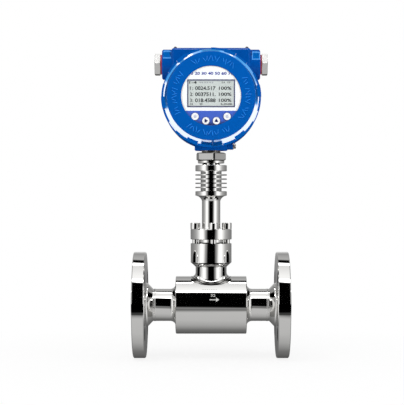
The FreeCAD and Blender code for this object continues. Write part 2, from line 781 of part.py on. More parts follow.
def housing_case():
    """Cast case: round barrel, top block, conduit shoulders and neck boss."""
    case = joined(barrel(), top_block(), conduit_shoulder(), neck_boss(), earth_boss())
    case = case.cut(front_pocket()).cut(rear_pocket())
    cavity_floor = HOUSING_Z - CAVITY_RADIUS
    for side in (-1, 1):
        case = case.cut(rod(CONDUIT_BORE, 0, CONDUIT_REACH + PAST, AXIS_X * side, conduit_axis()))
    case = case.cut(rod(THREAD_RADIUS, HOUSING_BOTTOM - PAST, cavity_floor, at=STEM))
    case = case.cut(rod(NIPPLE_BORE, HOUSING_BOTTOM, cavity_floor + 2 * PAST, at=STEM))
    case = case.cut(earth_hole()).cut(stud_holes()).cut(bush_hole()).cut(inner_earth_hole())
    return case.cut(post_holes())


def barrel():
    depth = CASE_HALF_DEPTH
    return turned([
        (0, -depth),
        (CASE_RADIUS - CASE_EDGE, -depth),
        (CASE_RADIUS, -depth + CASE_EDGE),
        (CASE_RADIUS, depth - CASE_EDGE),
        (CASE_RADIUS - CASE_EDGE, depth),
        (0, depth),
    ], AXIS_Y, HOUSING)


def top_block():
    """Flat-topped block across the barrel, with rounded upright and top edges."""
    low = HOUSING + Vector(-BLOCK_HALF_WIDTH, -BLOCK_HALF_DEPTH, BLOCK_BOTTOM)
    shape = block(2 * BLOCK_HALF_WIDTH, 2 * BLOCK_HALF_DEPTH, BLOCK_TOP - BLOCK_BOTTOM, low)
    bottom = HOUSING_Z + BLOCK_BOTTOM
    rounded = edges_where(shape, lambda point: point.z > bottom + NEAR)
    return shape.makeFillet(BLOCK_CORNER, rounded)


def conduit_axis():
    return HOUSING + AXIS_Z * CONDUIT_RISE


def conduit_shoulder():
    """Round boss right through the block, with a flat pad on each shoulder."""
    reach = CONDUIT_REACH
    boss = turned([
        (0, -reach),
        (CONDUIT_BOSS_RADIUS - CONDUIT_EDGE, -reach),
        (CONDUIT_BOSS_RADIUS, -reach + CONDUIT_EDGE),
        (CONDUIT_BOSS_RADIUS, reach - CONDUIT_EDGE),
        (CONDUIT_BOSS_RADIUS - CONDUIT_EDGE, reach),
        (0, reach),
    ], AXIS_X, conduit_axis())
    return joined(boss, shoulder_pad(-1), shoulder_pad(1))


def shoulder_pad(side):
    outer = CONDUIT_REACH - CONDUIT_EDGE - PAD_INSET
    middle_x = side * (outer - PAD_WIDTH / 2)
    low = conduit_axis() + Vector(middle_x - PAD_WIDTH / 2, -PAD_FRONT, PAD_RISE - PAD_HEIGHT / 2)
    pad = block(PAD_WIDTH, PAD_FRONT, PAD_HEIGHT, low)
    rounded = edges_where(pad, lambda point: abs(point.y + PAD_FRONT / 2) < NEAR)
    return pad.makeFillet(PAD_CORNER, rounded)


def neck_boss():
    top = HOUSING_Z - CAVITY_RADIUS - NECK_BOSS_SKIN
    return turned([
        (0, HOUSING_BOTTOM),
        (NECK_BOSS_RADIUS - NECK_BOSS_EDGE, HOUSING_BOTTOM),
        (NECK_BOSS_RADIUS, HOUSING_BOTTOM + NECK_BOSS_EDGE),
        (NECK_BOSS_RADIUS, top),
        (0, top),
    ], at=STEM)


def earth_axis():
    return STEM + AXIS_Z * (HOUSING_BOTTOM + EARTH_BOSS_RISE)


def earth_boss():
    root = (THREAD_RADIUS + NECK_BOSS_RADIUS) / 2
    return rod(EARTH_BOSS_RADIUS, root, EARTH_BOSS_REACH, AXIS_X, earth_axis())


def earth_hole():
    bottom = EARTH_BOSS_REACH - EARTH_SCREW_LENGTH - TIP_ROOM
    return rod(EARTH_SCREW_RADIUS, bottom, EARTH_BOSS_REACH + PAST, AXIS_X, earth_axis())


def half_slab(low_y, high_y, above):
    """The part of the cavity above or below the step wall, between two depths."""
    slab = rod(CAVITY_RADIUS, low_y, high_y, AXIS_Y, HOUSING)
    size = 2 * CASE_RADIUS
    low_z = STEP_WALL / 2 if above else -STEP_WALL / 2 - size
    keep = block(size, high_y - low_y, size, HOUSING + Vector(-size / 2, low_y, low_z))
    return slab.common(keep)


def seal_seat(face, inward):
    """Counterbore at a compartment's mouth that takes the cover's seal ring."""
    radius = SKIRT_RADIUS + 2 * COVER_SEAL_PLAY + 2 * COVER_SEAL_SECTION
    ends = sorted((face - inward * PAST, face + inward * 2 * COVER_SEAL_SECTION))
    return rod(radius, ends[0], ends[1], AXIS_Y, HOUSING)


def front_pocket():
    """Room for the boards, which leaves the posts of the two lower fixings standing."""
    mouth = rod(CAVITY_RADIUS, FRONT_FACE - PAST, UPPER_PARTITION_FRONT, AXIS_Y, HOUSING)
    deep = half_slab(UPPER_PARTITION_FRONT - PAST, LOWER_PARTITION_FRONT, False)
    return joined(mouth, deep, seal_seat(FRONT_FACE, 1)).cut(lower_posts())


def rear_pocket():
    mouth = rod(CAVITY_RADIUS, LOWER_PARTITION_BACK, CASE_HALF_DEPTH + PAST, AXIS_Y, HOUSING)
    deep = half_slab(UPPER_PARTITION_BACK, LOWER_PARTITION_BACK + PAST, True)
    return joined(mouth, deep, seal_seat(CASE_HALF_DEPTH, -1))


def fixing_places():
    """The four points, across and up from the housing's axis, of the board fixings."""
    places = []
    for side in (-1, 1):
        for level in (-1, 1):
            places.append(Vector(side * BOARD_FIXINGS, 0, level * BOARD_FIXINGS))
    return places


def lower_posts():
    """Posts that bring the two lower board fixings level with the upper wall."""
    posts = []
    for place in fixing_places():
        if place.z < 0:
            posts.append(rod(POST_RADIUS, UPPER_PARTITION_FRONT, LOWER_PARTITION_FRONT + PAST,
                             AXIS_Y, HOUSING + place))
    return posts


def post_holes():
    holes = []
    for place in fixing_places():
        depth = PARTITION - BLIND_WALL if place.z > 0 else STUD_ENTRY
        holes.append(rod(SMALL_SCREW_RADIUS, UPPER_PARTITION_FRONT - PAST,
                         UPPER_PARTITION_FRONT + depth, AXIS_Y, HOUSING + place))
    return holes


def stud_places():
    top = HOUSING + AXIS_Z * BLOCK_TOP
    return [top - AXIS_X * STUD_OFFSET, top + AXIS_X * STUD_OFFSET]


def stud_holes():
    return [rod(STUD_SHANK_RADIUS, -STUD_SHANK, PAST, at=place) for place in stud_places()]


def bush_axis():
    return HOUSING - AXIS_Z * BUSH_DROP


def bush_hole():
    return rod(BUSH_RADIUS, LOWER_PARTITION_FRONT - PAST, LOWER_PARTITION_BACK + PAST, AXIS_Y,
               bush_axis())


def inner_earth_axis():
    return HOUSING + Vector(INNER_EARTH_OFFSET, 0, -INNER_EARTH_DROP)


def inner_earth_hole():
    return rod(EARTH_SCREW_RADIUS, LOWER_PARTITION_FRONT + BLIND_WALL,
               LOWER_PARTITION_BACK + PAST, AXIS_Y, inner_earth_axis())


# Covers. Profiles count outwards from the case's face, then turn to the front or back

def sector(inner, outer, low, high, middle_degrees, width_degrees):
    """Part of a ring about Z, as wide as the given angle."""
    wire = closed_wire([(inner, low), (outer, low), (outer, high), (inner, high)])
    shape = Part.Face(wire).revolve(Vector(0, 0, 0), AXIS_Z, width_degrees)
    shape.rotate(Vector(0, 0, 0), AXIS_Z, middle_degrees - width_degrees / 2)
    return shape


def grip_lugs():
    """Six gripping lugs, each standing on a wider and lower shoulder."""
    inner = COVER_FACE_RADIUS - LUG_ROOT
    outer = COVER_FLANGE_RADIUS
    foot = COVER_FLANGE - PAST
    pieces = []
    for index in range(LUGS):
        middle = LUG_TURN + index * 360.0 / LUGS
        pieces.append(sector(inner, outer, foot, COVER_FLANGE + LUG_REACH, middle, LUG_ANGLE))
        pieces.append(sector(inner, outer, foot, COVER_FLANGE + SHOULDER_REACH, middle,
                             SHOULDER_ANGLE))
    return pieces


def cover_blank(depth, crown):
    """Outside of a cover: skirt, flange, tapered wall, rounded edge and face."""
    edge = COVER_EDGE
    solid = turned([
        (0, -SKIRT_LENGTH),
        (SKIRT_RADIUS, -SKIRT_LENGTH),
        (SKIRT_RADIUS, 0),
        (COVER_FLANGE_RADIUS, 0),
        (COVER_FLANGE_RADIUS, COVER_FLANGE),
        (COVER_ROOT_RADIUS, COVER_FLANGE),
        (COVER_FACE_RADIUS, depth - edge),
        fillet_arc((COVER_FACE_RADIUS - edge, depth - edge), edge, 0, 90),
        (WINDOW_RADIUS, depth + crown),
        (0, depth + crown),
    ])
    return joined(solid, *grip_lugs())


def front_cover():
    """Window cover, stepped inside for the seal, the glass and its retainer."""
    seat = GLASS_SEAT - FRONT_FACE
    back = RETAINER_BACK - FRONT_FACE
    face = WINDOW_FACE - FRONT_FACE
    hollow = turned([
        (0, SKIRT_LENGTH + PAST),
        (COVER_BORE, SKIRT_LENGTH + PAST),
        (COVER_BORE, back),
        (GLASS_RADIUS + GLASS_CLEARANCE, back),
        (GLASS_RADIUS + GLASS_CLEARANCE, seat),
        (WINDOW_RADIUS, seat),
        (WINDOW_RADIUS, face + WINDOW_EDGE),
        (WINDOW_RADIUS + WINDOW_EDGE + PAST, face - PAST),
        (0, face - PAST),
    ])
    blank = placed_front(cover_blank(COVER_DEPTH, COVER_CROWN))
    return blank.cut(placed(hollow, AXIS_Y, HOUSING + AXIS_Y * FRONT_FACE))


def placed_front(shape):
    """Turn an outward profile to the front, keeping its angles as seen from there."""
    result = shape.copy()
    result.rotate(Vector(0, 0, 0), AXIS_X, 90)
    result.translate(HOUSING + AXIS_Y * FRONT_FACE)
    return result


def placed_back(shape):
    result = shape.copy()
    result.rotate(Vector(0, 0, 0), AXIS_X, -90)
    result.translate(HOUSING + AXIS_Y * CASE_HALF_DEPTH)
    return result


def rear_cover():
    """Blind cover of the terminal compartment."""
    hollow = turned([
        (0, -SKIRT_LENGTH - PAST),
        (COVER_BORE, -SKIRT_LENGTH - PAST),
        (COVER_BORE, REAR_COVER_DEPTH - REAR_COVER_WALL),
        (0, REAR_COVER_DEPTH - REAR_COVER_WALL),
    ])
    return placed_back(cover_blank(REAR_COVER_DEPTH, 0).cut(hollow))


def cover_seal(face, inward):
    centre = SKIRT_RADIUS + COVER_SEAL_PLAY + COVER_SEAL_SECTION
    return seal_ring(centre, COVER_SEAL_SECTION, face + inward * COVER_SEAL_SECTION, AXIS_Y,
                     HOUSING)


def window_seal():
    inner = WINDOW_RADIUS + GLASS_SEAL_INSET
    return tube(GLASS_RADIUS, inner, GLASS_SEAT, GLASS_FRONT, AXIS_Y, HOUSING)


def window_glass():
    edge = GLASS_CHAMFER
    return turned([
        (0, GLASS_FRONT),
        (GLASS_RADIUS - edge, GLASS_FRONT),
        (GLASS_RADIUS, GLASS_FRONT + edge),
        (GLASS_RADIUS, GLASS_BACK - edge),
        (GLASS_RADIUS - edge, GLASS_BACK),
        (0, GLASS_BACK),
    ], AXIS_Y, HOUSING)


def glass_retainer():
    """Screwed ring behind the glass, with two notches for a pin spanner."""
    outer = GLASS_RADIUS + GLASS_CLEARANCE
    ring = tube(outer, RETAINER_RADIUS, GLASS_BACK, RETAINER_BACK, AXIS_Y, HOUSING)
    width = 2 * (outer + PAST)
    low = HOUSING + Vector(-width / 2, RETAINER_BACK - RETAINER_HEIGHT / 2, -RETAINER_NOTCH / 2)
    return ring.cut(block(width, RETAINER_HEIGHT, RETAINER_NOTCH, low))


# Conduit plugs, washers, earth screws and studs

def conduit_washer(side):
    return tube(WASHER_RADIUS, CONDUIT_BORE, CONDUIT_REACH, CONDUIT_REACH + WASHER_THICKNESS,
                AXIS_X * side, conduit_axis())


def conduit_plug(side):
    """Hexagon-headed plug screwed into the conduit bore."""
    head = chamfered_hexagon(PLUG_FLATS, PLUG_HEAD, PLUG_HEAD_EDGE, 0)
    plug = joined(head, rod(CONDUIT_BORE, -PLUG_SHANK, 0))
    plug.rotate(Vector(0, 0, 0), AXIS_Y, 90 * side)
    plug.rotate(Vector(0, 0, 0), AXIS_X, PLUG_TURN)
    plug.translate(conduit_axis() + AXIS_X * side * (CONDUIT_REACH + WASHER_THICKNESS))
    return plug


def slotted_screw(length):
    """Cheese-head screw along Z, its head standing on station 0."""
    edge = EARTH_HEAD_CHAMFER
    screw = turned([
        (0, -length),
        (EARTH_SCREW_RADIUS, -length),
        (EARTH_SCREW_RADIUS, 0),
        (EARTH_HEAD_RADIUS, 0),
        (EARTH_HEAD_RADIUS, EARTH_HEAD_HEIGHT - edge),
        (EARTH_HEAD_RADIUS - edge, EARTH_HEAD_HEIGHT),
        (0, EARTH_HEAD_HEIGHT),
    ])
    reach = EARTH_HEAD_RADIUS + PAST
    low = Vector(-EARTH_SLOT / 2, -reach, EARTH_HEAD_HEIGHT / 2)
    return screw.cut(block(EARTH_SLOT, 2 * reach, EARTH_HEAD_HEIGHT, low))


def earth_screw():
    foot = EARTH_BOSS_REACH + EARTH_WASHER
    return placed(slotted_screw(EARTH_SCREW_LENGTH), AXIS_X, earth_axis() + AXIS_X * foot)


def earth_washer():
    return tube(EARTH_WASHER_RADIUS, EARTH_SCREW_RADIUS, EARTH_BOSS_REACH,
                EARTH_BOSS_REACH + EARTH_WASHER, AXIS_X, earth_axis())


def inner_earth_screw():
    screw = slotted_screw(PARTITION - BLIND_WALL - TIP_ROOM)
    return placed(screw, AXIS_Y, inner_earth_axis() + AXIS_Y * LOWER_PARTITION_BACK)


def top_studs():
    """Two low domed drive studs on the block's top face."""
    studs = []
    for place in stud_places():
        studs.append(turned([
            (0, -STUD_SHANK),
            (STUD_SHANK_RADIUS, -STUD_SHANK),
            (STUD_SHANK_RADIUS, 0),
            (STUD_RADIUS, 0),
            (STUD_RADIUS * STUD_SHOULDER[0], STUD_HEIGHT * STUD_SHOULDER[1]),
            (STUD_RADIUS * STUD_CROWN[0], STUD_HEIGHT * STUD_CROWN[1]),
            (0, STUD_HEIGHT),
        ], at=place))
    return Part.makeCompound(studs)


# Display stack

def display_panel():
    """Round front panel with the display's window, key holes and screw holes."""
    panel = rod(PANEL_RADIUS, PANEL_FRONT, PANEL_BACK, AXIS_Y, HOUSING)
    panel = panel.cut(lcd_frame_box(0, PANEL_FRONT - PAST, PANEL_BACK + PAST))
    for across, up in KEYS.values():
        centre = HOUSING + Vector(across, 0, up)
        panel = panel.cut(rod(KEY_RADIUS + KEY_CLEARANCE, PANEL_FRONT - PAST, PANEL_BACK + PAST,
                              AXIS_Y, centre))
    for place in fixing_places():
        panel = panel.cut(rod(SMALL_SCREW_RADIUS, PANEL_FRONT - PAST, PANEL_BACK + PAST, AXIS_Y,
                              HOUSING + place))
    return panel


def lcd_frame_box(margin, low_y, high_y):
    width = LCD_WIDTH + 2 * margin
    height = LCD_HEIGHT + 2 * margin
    low = HOUSING + Vector(-width / 2, low_y, LCD_RISE - height / 2)
    return block(width, high_y - low_y, height, low)


def lcd_bezel():
    """Thin frame round the display's window, on the panel's face."""
    front = PANEL_FRONT - LCD_BEZEL_HEIGHT
    outer = lcd_frame_box(LCD_BEZEL, front, PANEL_FRONT)
    return outer.cut(lcd_frame_box(0, front - PAST, PANEL_FRONT + PAST))


def lcd_module():
    """Liquid crystal module: its glass fills the window, its body sits behind."""
    pane = lcd_frame_box(0, PANEL_FRONT + LCD_RECESS, DISPLAY_BOARD_FRONT)
    return joined(pane, lcd_frame_box(LCD_MARGIN, PANEL_BACK, DISPLAY_BOARD_FRONT))


def round_board(front, back):
    board = rod(BOARD_RADIUS, front, back, AXIS_Y, HOUSING)
    for place in fixing_places():
        board = board.cut(rod(SMALL_SCREW_RADIUS, front - PAST, back + PAST, AXIS_Y,
                              HOUSING + place))
    return board


def key(across, up):
    """Push key: cap, retaining flange behind the panel and switch stem."""
    front = PANEL_FRONT - KEY_PROUD
    flange_front = PANEL_BACK + KEY_CLEARANCE
    flange_back = flange_front + KEY_FLANGE_THICKNESS
    stem_end = DISPLAY_BOARD_FRONT - SWITCH_HEIGHT + STEM_ENTRY
    return turned([
        (0, front),
        (KEY_RADIUS - KEY_EDGE, front),
        (KEY_RADIUS, front + KEY_EDGE),
        (KEY_RADIUS, flange_front),
        (KEY_RADIUS + KEY_FLANGE, flange_front),
        (KEY_RADIUS + KEY_FLANGE, flange_back),
        (KEY_STEM_RADIUS, flange_back),
        (KEY_STEM_RADIUS, stem_end),
        (0, stem_end),
    ], AXIS_Y, HOUSING + Vector(across, 0, up))


def key_switches():
    """Four square switch cases on the display board, each with a well for its stem."""
    cases = []
    front = DISPLAY_BOARD_FRONT - SWITCH_HEIGHT
    for across, up in KEYS.values():
        centre = HOUSING + Vector(across, 0, up)
        low = centre + Vector(-SWITCH_SIZE / 2, front, -SWITCH_SIZE / 2)
        case = block(SWITCH_SIZE, SWITCH_HEIGHT, SWITCH_SIZE, low)
        well = rod(KEY_STEM_RADIUS + KEY_CLEARANCE, front - PAST,
                   DISPLAY_BOARD_FRONT - SWITCH_FLOOR, AXIS_Y, centre)
        cases.append(case.cut(well))
    return Part.makeCompound(cases)


def panel_spacers():
    spacers = []
    for place in fixing_places():
        spacers.append(tube(SPACER_RADIUS, SMALL_SCREW_RADIUS, PANEL_BACK, DISPLAY_BOARD_FRONT,
                            AXIS_Y, HOUSING + place))
    return Part.makeCompound(spacers)


def panel_screws():
    """Pan-head screws through panel, spacers and board into the standoffs."""
    screws = []
    tip = DISPLAY_BOARD_BACK + SMALL_SCREW_ENTRY
    for place in fixing_places():
        screws.append(turned([
            (0, PANEL_FRONT - SMALL_HEAD_HEIGHT),
            (SMALL_HEAD_RADIUS * SMALL_HEAD_CROWN, PANEL_FRONT - SMALL_HEAD_HEIGHT),
            (SMALL_HEAD_RADIUS, PANEL_FRONT - SMALL_HEAD_HEIGHT / 2),
            (SMALL_HEAD_RADIUS, PANEL_FRONT),
            (SMALL_SCREW_RADIUS, PANEL_FRONT),
            (SMALL_SCREW_RADIUS, tip),
            (0, tip),
        ], AXIS_Y, HOUSING + place))
    return Part.makeCompound(screws)


def standoff(front, back, stud, place):
    """Hexagonal standoff with a screw hole in front and a stud behind."""
    body = hexagon(STANDOFF_FLATS, front, back)
    body = body.cut(rod(SMALL_SCREW_RADIUS, front - PAST, front + SMALL_SCREW_ENTRY))
    body = joined(body, rod(SMALL_SCREW_RADIUS, back - PAST, back + stud))
    return placed(body, AXIS_Y, HOUSING + place)


def upper_standoffs():
    stud = BOARD_THICKNESS + SMALL_SCREW_ENTRY - TIP_ROOM
    pieces = [standoff(DISPLAY_BOARD_BACK, MAIN_BOARD_FRONT, stud, place)
              for place in fixing_places()]
    return Part.makeCompound(pieces)


def lower_standoffs():
    stud = PARTITION - BLIND_WALL - STUD_ROOM
    pieces = [standoff(MAIN_BOARD_BACK, UPPER_PARTITION_FRONT, stud, place)
              for place in fixing_places()]
    return Part.makeCompound(pieces)


def board_header():
    """Pin header that joins the display board to the main board."""
    width, height = HEADER_SIZE
    low = HOUSING + Vector(-width / 2, DISPLAY_BOARD_BACK, HEADER_RISE - height / 2)
    return block(width, MAIN_BOARD_FRONT - DISPLAY_BOARD_BACK, height, low)


def board_block(size, place):
    """A component lying on the main board's front face."""
    width, depth, height = size
    low = HOUSING + Vector(place[0] - width / 2, MAIN_BOARD_FRONT - depth, place[1] - height / 2)
    shape = block(width, depth, height, low)
    front_edges = edges_where(shape, lambda point: abs(point.y - low.y) < NEAR)
    return shape.makeChamfer(COMPONENT_CHAMFER, front_edges)


# Rear compartment

def terminal_block():
    """Row of screw terminals on the lower wall, with wire entries from above."""
    width = TERMINAL_COUNT * TERMINAL_PITCH
    low = HOUSING + Vector(-width / 2, LOWER_PARTITION_BACK, -TERMINAL_DROP - TERMINAL_HEIGHT / 2)
    body = block(width, TERMINAL_DEPTH, TERMINAL_HEIGHT, low)
    body = body.makeChamfer(TERMINAL_CHAMFER, edges_where(body, on_terminal_nose))
    for place in terminal_places():
        screw = rod(TERMINAL_SCREW_RADIUS, TERMINAL_DEPTH - TERMINAL_SCREW_DEPTH,
                    TERMINAL_DEPTH + PAST, AXIS_Y, place)
        entry_at = place + AXIS_Y * (TERMINAL_DEPTH / 3)
        top = TERMINAL_HEIGHT / 2
        entry = rod(WIRE_ENTRY_RADIUS, top - WIRE_ENTRY_DEPTH, top + PAST, AXIS_Z, entry_at)
        body = body.cut([screw, entry])
    return body


def on_terminal_nose(point):
    """True on the long upper and lower edges of the block's outer face."""
    face = LOWER_PARTITION_BACK + TERMINAL_DEPTH
    return abs(point.y - face) < NEAR and abs(point.x - CENTRE_X) < NEAR


def terminal_places():
    """Middle of each terminal on the lower wall."""
    places = []
    for index in range(TERMINAL_COUNT):
        across = (index - (TERMINAL_COUNT - 1) / 2) * TERMINAL_PITCH
        places.append(HOUSING + Vector(across, LOWER_PARTITION_BACK, -TERMINAL_DROP))
    return places


def terminal_screws():
    screws = []
    floor = TERMINAL_DEPTH - TERMINAL_SCREW_DEPTH
    top = TERMINAL_DEPTH - TERMINAL_SCREW_SUNK
    reach = TERMINAL_SCREW_RADIUS + PAST
    slot_low = Vector(-TERMINAL_SLOT / 2, -reach, top - TERMINAL_SLOT_DEPTH)
    for place in terminal_places():
        screw = rod(TERMINAL_SCREW_RADIUS, floor, top)
        slot = block(TERMINAL_SLOT, 2 * reach, TERMINAL_SLOT_DEPTH + PAST, slot_low)
        screws.append(placed(screw.cut(slot), AXIS_Y, place))
    return Part.makeCompound(screws)


def feedthrough_bush():
    """Sealed bush that takes the wires through the wall between compartments."""
    front = LOWER_PARTITION_FRONT
    back = LOWER_PARTITION_BACK
    return turned([
        (0, front),
        (BUSH_RADIUS, front),
        (BUSH_RADIUS, back),
        (BUSH_FLANGE_RADIUS, back),
        (BUSH_FLANGE_RADIUS, back + BUSH_FLANGE),
        (0, back + BUSH_FLANGE),
    ], AXIS_Y, bush_axis())


def build():
    """Every node's name with its shape."""
    upstream, downstream = sensor_places()
    nodes = {
        "meter_body": meter_body(),
        "inlet_flange": inlet_flange(),
        "outlet_flange": outlet_flange(),
        "probe_flange": probe_flange(),
        "probe_gasket": probe_gasket(),
        "probe_seal": probe_seal(),
        "flange_screws": flange_screws(),
        "reference_sensor": sensor_tube(upstream),
        "heated_sensor": sensor_tube(downstream),
        "reference_element": sensor_element(upstream),
        "heater_element": sensor_element(downstream),
        "sensor_cable": sensor_cable(),
        "stem_tube": stem_tube(),
        "finned_neck": finned_neck(),
        "neck_nipple": neck_nipple(),
        "lock_nut": lock_nut(),
        "housing_case": housing_case(),
        "front_cover": front_cover(),
        "front_cover_seal": cover_seal(FRONT_FACE, 1),
        "window_seal": window_seal(),
        "window_glass": window_glass(),
        "glass_retainer": glass_retainer(),
        "rear_cover": rear_cover(),
        "rear_cover_seal": cover_seal(CASE_HALF_DEPTH, -1),
        "left_plug_washer": conduit_washer(-1),
        "right_plug_washer": conduit_washer(1),
        "left_plug": conduit_plug(-1),
        "right_plug": conduit_plug(1),
        "earth_screw": earth_screw(),
        "earth_washer": earth_washer(),
        "inner_earth_screw": inner_earth_screw(),
        "top_studs": top_studs(),
        "display_panel": display_panel(),
        "lcd_bezel": lcd_bezel(),
        "lcd_module": lcd_module(),
        "display_board": round_board(DISPLAY_BOARD_FRONT, DISPLAY_BOARD_BACK),
        "main_board": round_board(MAIN_BOARD_FRONT, MAIN_BOARD_BACK),
        "key_switches": key_switches(),
        "panel_spacers": panel_spacers(),
        "panel_screws": panel_screws(),
        "upper_standoffs": upper_standoffs(),
        "lower_standoffs": lower_standoffs(),
        "board_header": board_header(),
        "power_module": board_block(POWER_MODULE_SIZE, POWER_MODULE_PLACE),
        "processor": board_block(CHIP_SIZE, CHIP_PLACE),
        "terminal_block": terminal_block(),
        "terminal_screws": terminal_screws(),
        "feedthrough_bush": feedthrough_bush(),
    }
    for name, (across, up) in KEYS.items():
        nodes[name] = key(across, up)
    return nodes


os.makedirs("parts", exist_ok=True)
for node, shape in build().items():
    shape.exportStep("parts/" + node + ".step")
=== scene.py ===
import json
import math
from functools import reduce

import bmesh
import bpy
import numpy as np
from bpy.props import (FloatProperty, FloatVectorProperty, IntProperty, PointerProperty,
                       StringProperty)
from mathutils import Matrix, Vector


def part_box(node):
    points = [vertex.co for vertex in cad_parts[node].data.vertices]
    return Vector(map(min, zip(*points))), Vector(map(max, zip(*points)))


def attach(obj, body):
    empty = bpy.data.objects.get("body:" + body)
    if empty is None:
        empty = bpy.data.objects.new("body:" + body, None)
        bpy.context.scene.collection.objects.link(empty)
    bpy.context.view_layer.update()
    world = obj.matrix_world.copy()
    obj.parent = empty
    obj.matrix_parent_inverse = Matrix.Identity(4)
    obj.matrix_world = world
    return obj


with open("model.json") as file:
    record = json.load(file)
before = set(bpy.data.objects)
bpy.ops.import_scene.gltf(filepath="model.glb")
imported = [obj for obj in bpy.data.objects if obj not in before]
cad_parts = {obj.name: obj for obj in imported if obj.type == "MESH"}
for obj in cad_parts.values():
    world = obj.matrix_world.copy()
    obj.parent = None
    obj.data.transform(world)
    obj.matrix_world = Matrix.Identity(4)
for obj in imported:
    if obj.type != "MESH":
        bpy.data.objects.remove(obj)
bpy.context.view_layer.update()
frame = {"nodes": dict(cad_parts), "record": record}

bl_info = {
    "name": "Thermal mass flow meter",
    "version": (1, 0, 0),
    "blender": (4, 5, 0),
    "location": "3D View > Sidebar > Flow meter",
    "description": "Dresses the packed flow meter with its finishes, small parts and studio",
    "category": "Object",
}

# Stations of the part, in metres, as the CAD has them
CENTRE_X = 0.102
FLANGE_BOTTOM = -0.070
BODY_RADIUS = 0.038
PIPE_RADIUS = 0.0212
FACE_LOW = -0.002
FACE_HIGH = 0.206
FINS_LOW = 0.1494
FINS_HIGH = 0.1758
FIN_CORE_RADIUS = 0.0139
COLLAR_BOTTOM = 0.1870
NUT_BOTTOM = 0.1907
NUT_TOP = 0.2012
HOUSING_BOTTOM = 0.2037
THREAD_RADIUS = 0.012
HOUSING_Z = 0.2715
BLOCK_TOP = 0.3378
COVER_FACE_Y = -0.066
COVER_FACE_RADIUS = 0.057
WINDOW_RADIUS = 0.0382
WINDOW_FACE_Y = -0.0675
PANEL_Y = -0.0476
LCD_Y = -0.0473
LCD_RISE = 0.0042
KEY_FRONT_Y = -0.0492
# Nodes that keep no light from the dial
CLEAR_OF_THE_DIAL = ("front_cover", "window_seal", "window_glass", "glass_retainer")
# Weld beads: how far from the flange faces, half their section, how deep they sit, and
# how their scales swell and how many lie round the pipe
WELD_INSET = 0.030
WELD_HALF_HEIGHT = 0.00035
WELD_HALF_LENGTH = 0.0011
WELD_SINK = 0.0001
WELD_RIPPLE = 0.25
WELD_SCALES = 96
THREAD_DEPTH = 0.0006
# Thickness of flat print and signs, and how far the body's marks stand off the steel
PRINT = 0.0002
MARK_GAP = 0.00005
# Middle of the raised strokes on the cover, and how far it swings from stroke to stroke
STROKE_RADIUS = 0.0476
STROKE_SWING = 0.0008
KEYS = {"menu": (-0.0206, -0.0256), "shift": (-0.0068, -0.0312),
        "raise": (0.0068, -0.0312), "enter": (0.0206, -0.0256)}


# Settings that a user would change

class FLOWMETER_PG_metal(bpy.types.PropertyGroup):
    steel_colour: FloatVectorProperty(
        name="Steel colour", description="Reflection tint of the polished steel",
        subtype="COLOR", size=3, min=0, max=1, default=(0.79, 0.785, 0.77))
    steel_roughness: FloatProperty(
        name="Steel roughness", description="Blur of the polished steel's reflections",
        subtype="FACTOR", min=0, max=1, default=0.035)
    plug_colour: FloatVectorProperty(
        name="Plug colour", description="Tint of the plated conduit plugs",
        subtype="COLOR", size=3, min=0, max=1, default=(0.76, 0.755, 0.745))
    thread_pitch: FloatProperty(
        name="Thread pitch", description="Rise of the nipple's thread in one turn",
        subtype="DISTANCE", min=0.0005, max=0.003, default=0.001)


class FLOWMETER_PG_paint(bpy.types.PropertyGroup):
    colour: FloatVectorProperty(
        name="Paint colour", description="Colour of the baked enamel on the housing",
        subtype="COLOR", size=3, min=0, max=1, default=(0.0012, 0.094, 0.412))
    gloss: FloatProperty(
        name="Clear coat", description="Weight of the enamel's glossy top layer",
        subtype="FACTOR", min=0, max=1, default=1.0)
    peel: FloatProperty(
        name="Orange peel", description="Depth of the enamel's fine waviness",
        subtype="FACTOR", min=0, max=1, default=0.05)


class FLOWMETER_PG_dial(bpy.types.PropertyGroup):
    scale_text: StringProperty(
        name="Scale", description="Plain numbers printed above the display",
        default="10 20 30 40 50 60 70")
    reading: FloatProperty(
        name="Reading", description="Number on the display's first line",
        min=0, max=9999, default=24.517)
    print_colour: FloatVectorProperty(
        name="Print colour", description="Colour of the band behind the keys",
        subtype="COLOR", size=3, min=0, max=1, default=(0.045, 0.11, 0.52))
    tick_count: IntProperty(
        name="Ticks", description="Raised strokes round the front cover's face",
        min=12, max=240, default=84)


class FLOWMETER_PG_studio(bpy.types.PropertyGroup):
    distance: FloatProperty(
        name="Camera distance", description="From the camera to the stem's axis",
        subtype="DISTANCE", min=0.5, max=5, default=1.79)
    camera_height: FloatProperty(
        name="Camera height", description="Above the pipe's axis",
        subtype="DISTANCE", min=-1, max=2, default=0.1353)
    lens: FloatProperty(
        name="Lens", description="Focal length in millimetres",
        min=20, max=400, default=120.3)
    side_step: FloatProperty(
        name="Side shift", description="Sideways shift of the frame, as a share of its width",
        min=-0.2, max=0.2, default=-0.0225)
    room_level: FloatProperty(
        name="Room level", description="Strength of the even light from all round",
        min=0, max=2, default=0.72)


# Objects

def with_values(made, **values):
    """A thing with its properties set by name."""
    for key, value in values.items():
        setattr(made, key, value)
    return made


def linked(name, data):
    """A new object of the scene."""
    made = bpy.data.objects.new(name, data)
    bpy.context.scene.collection.objects.link(made)
    return made


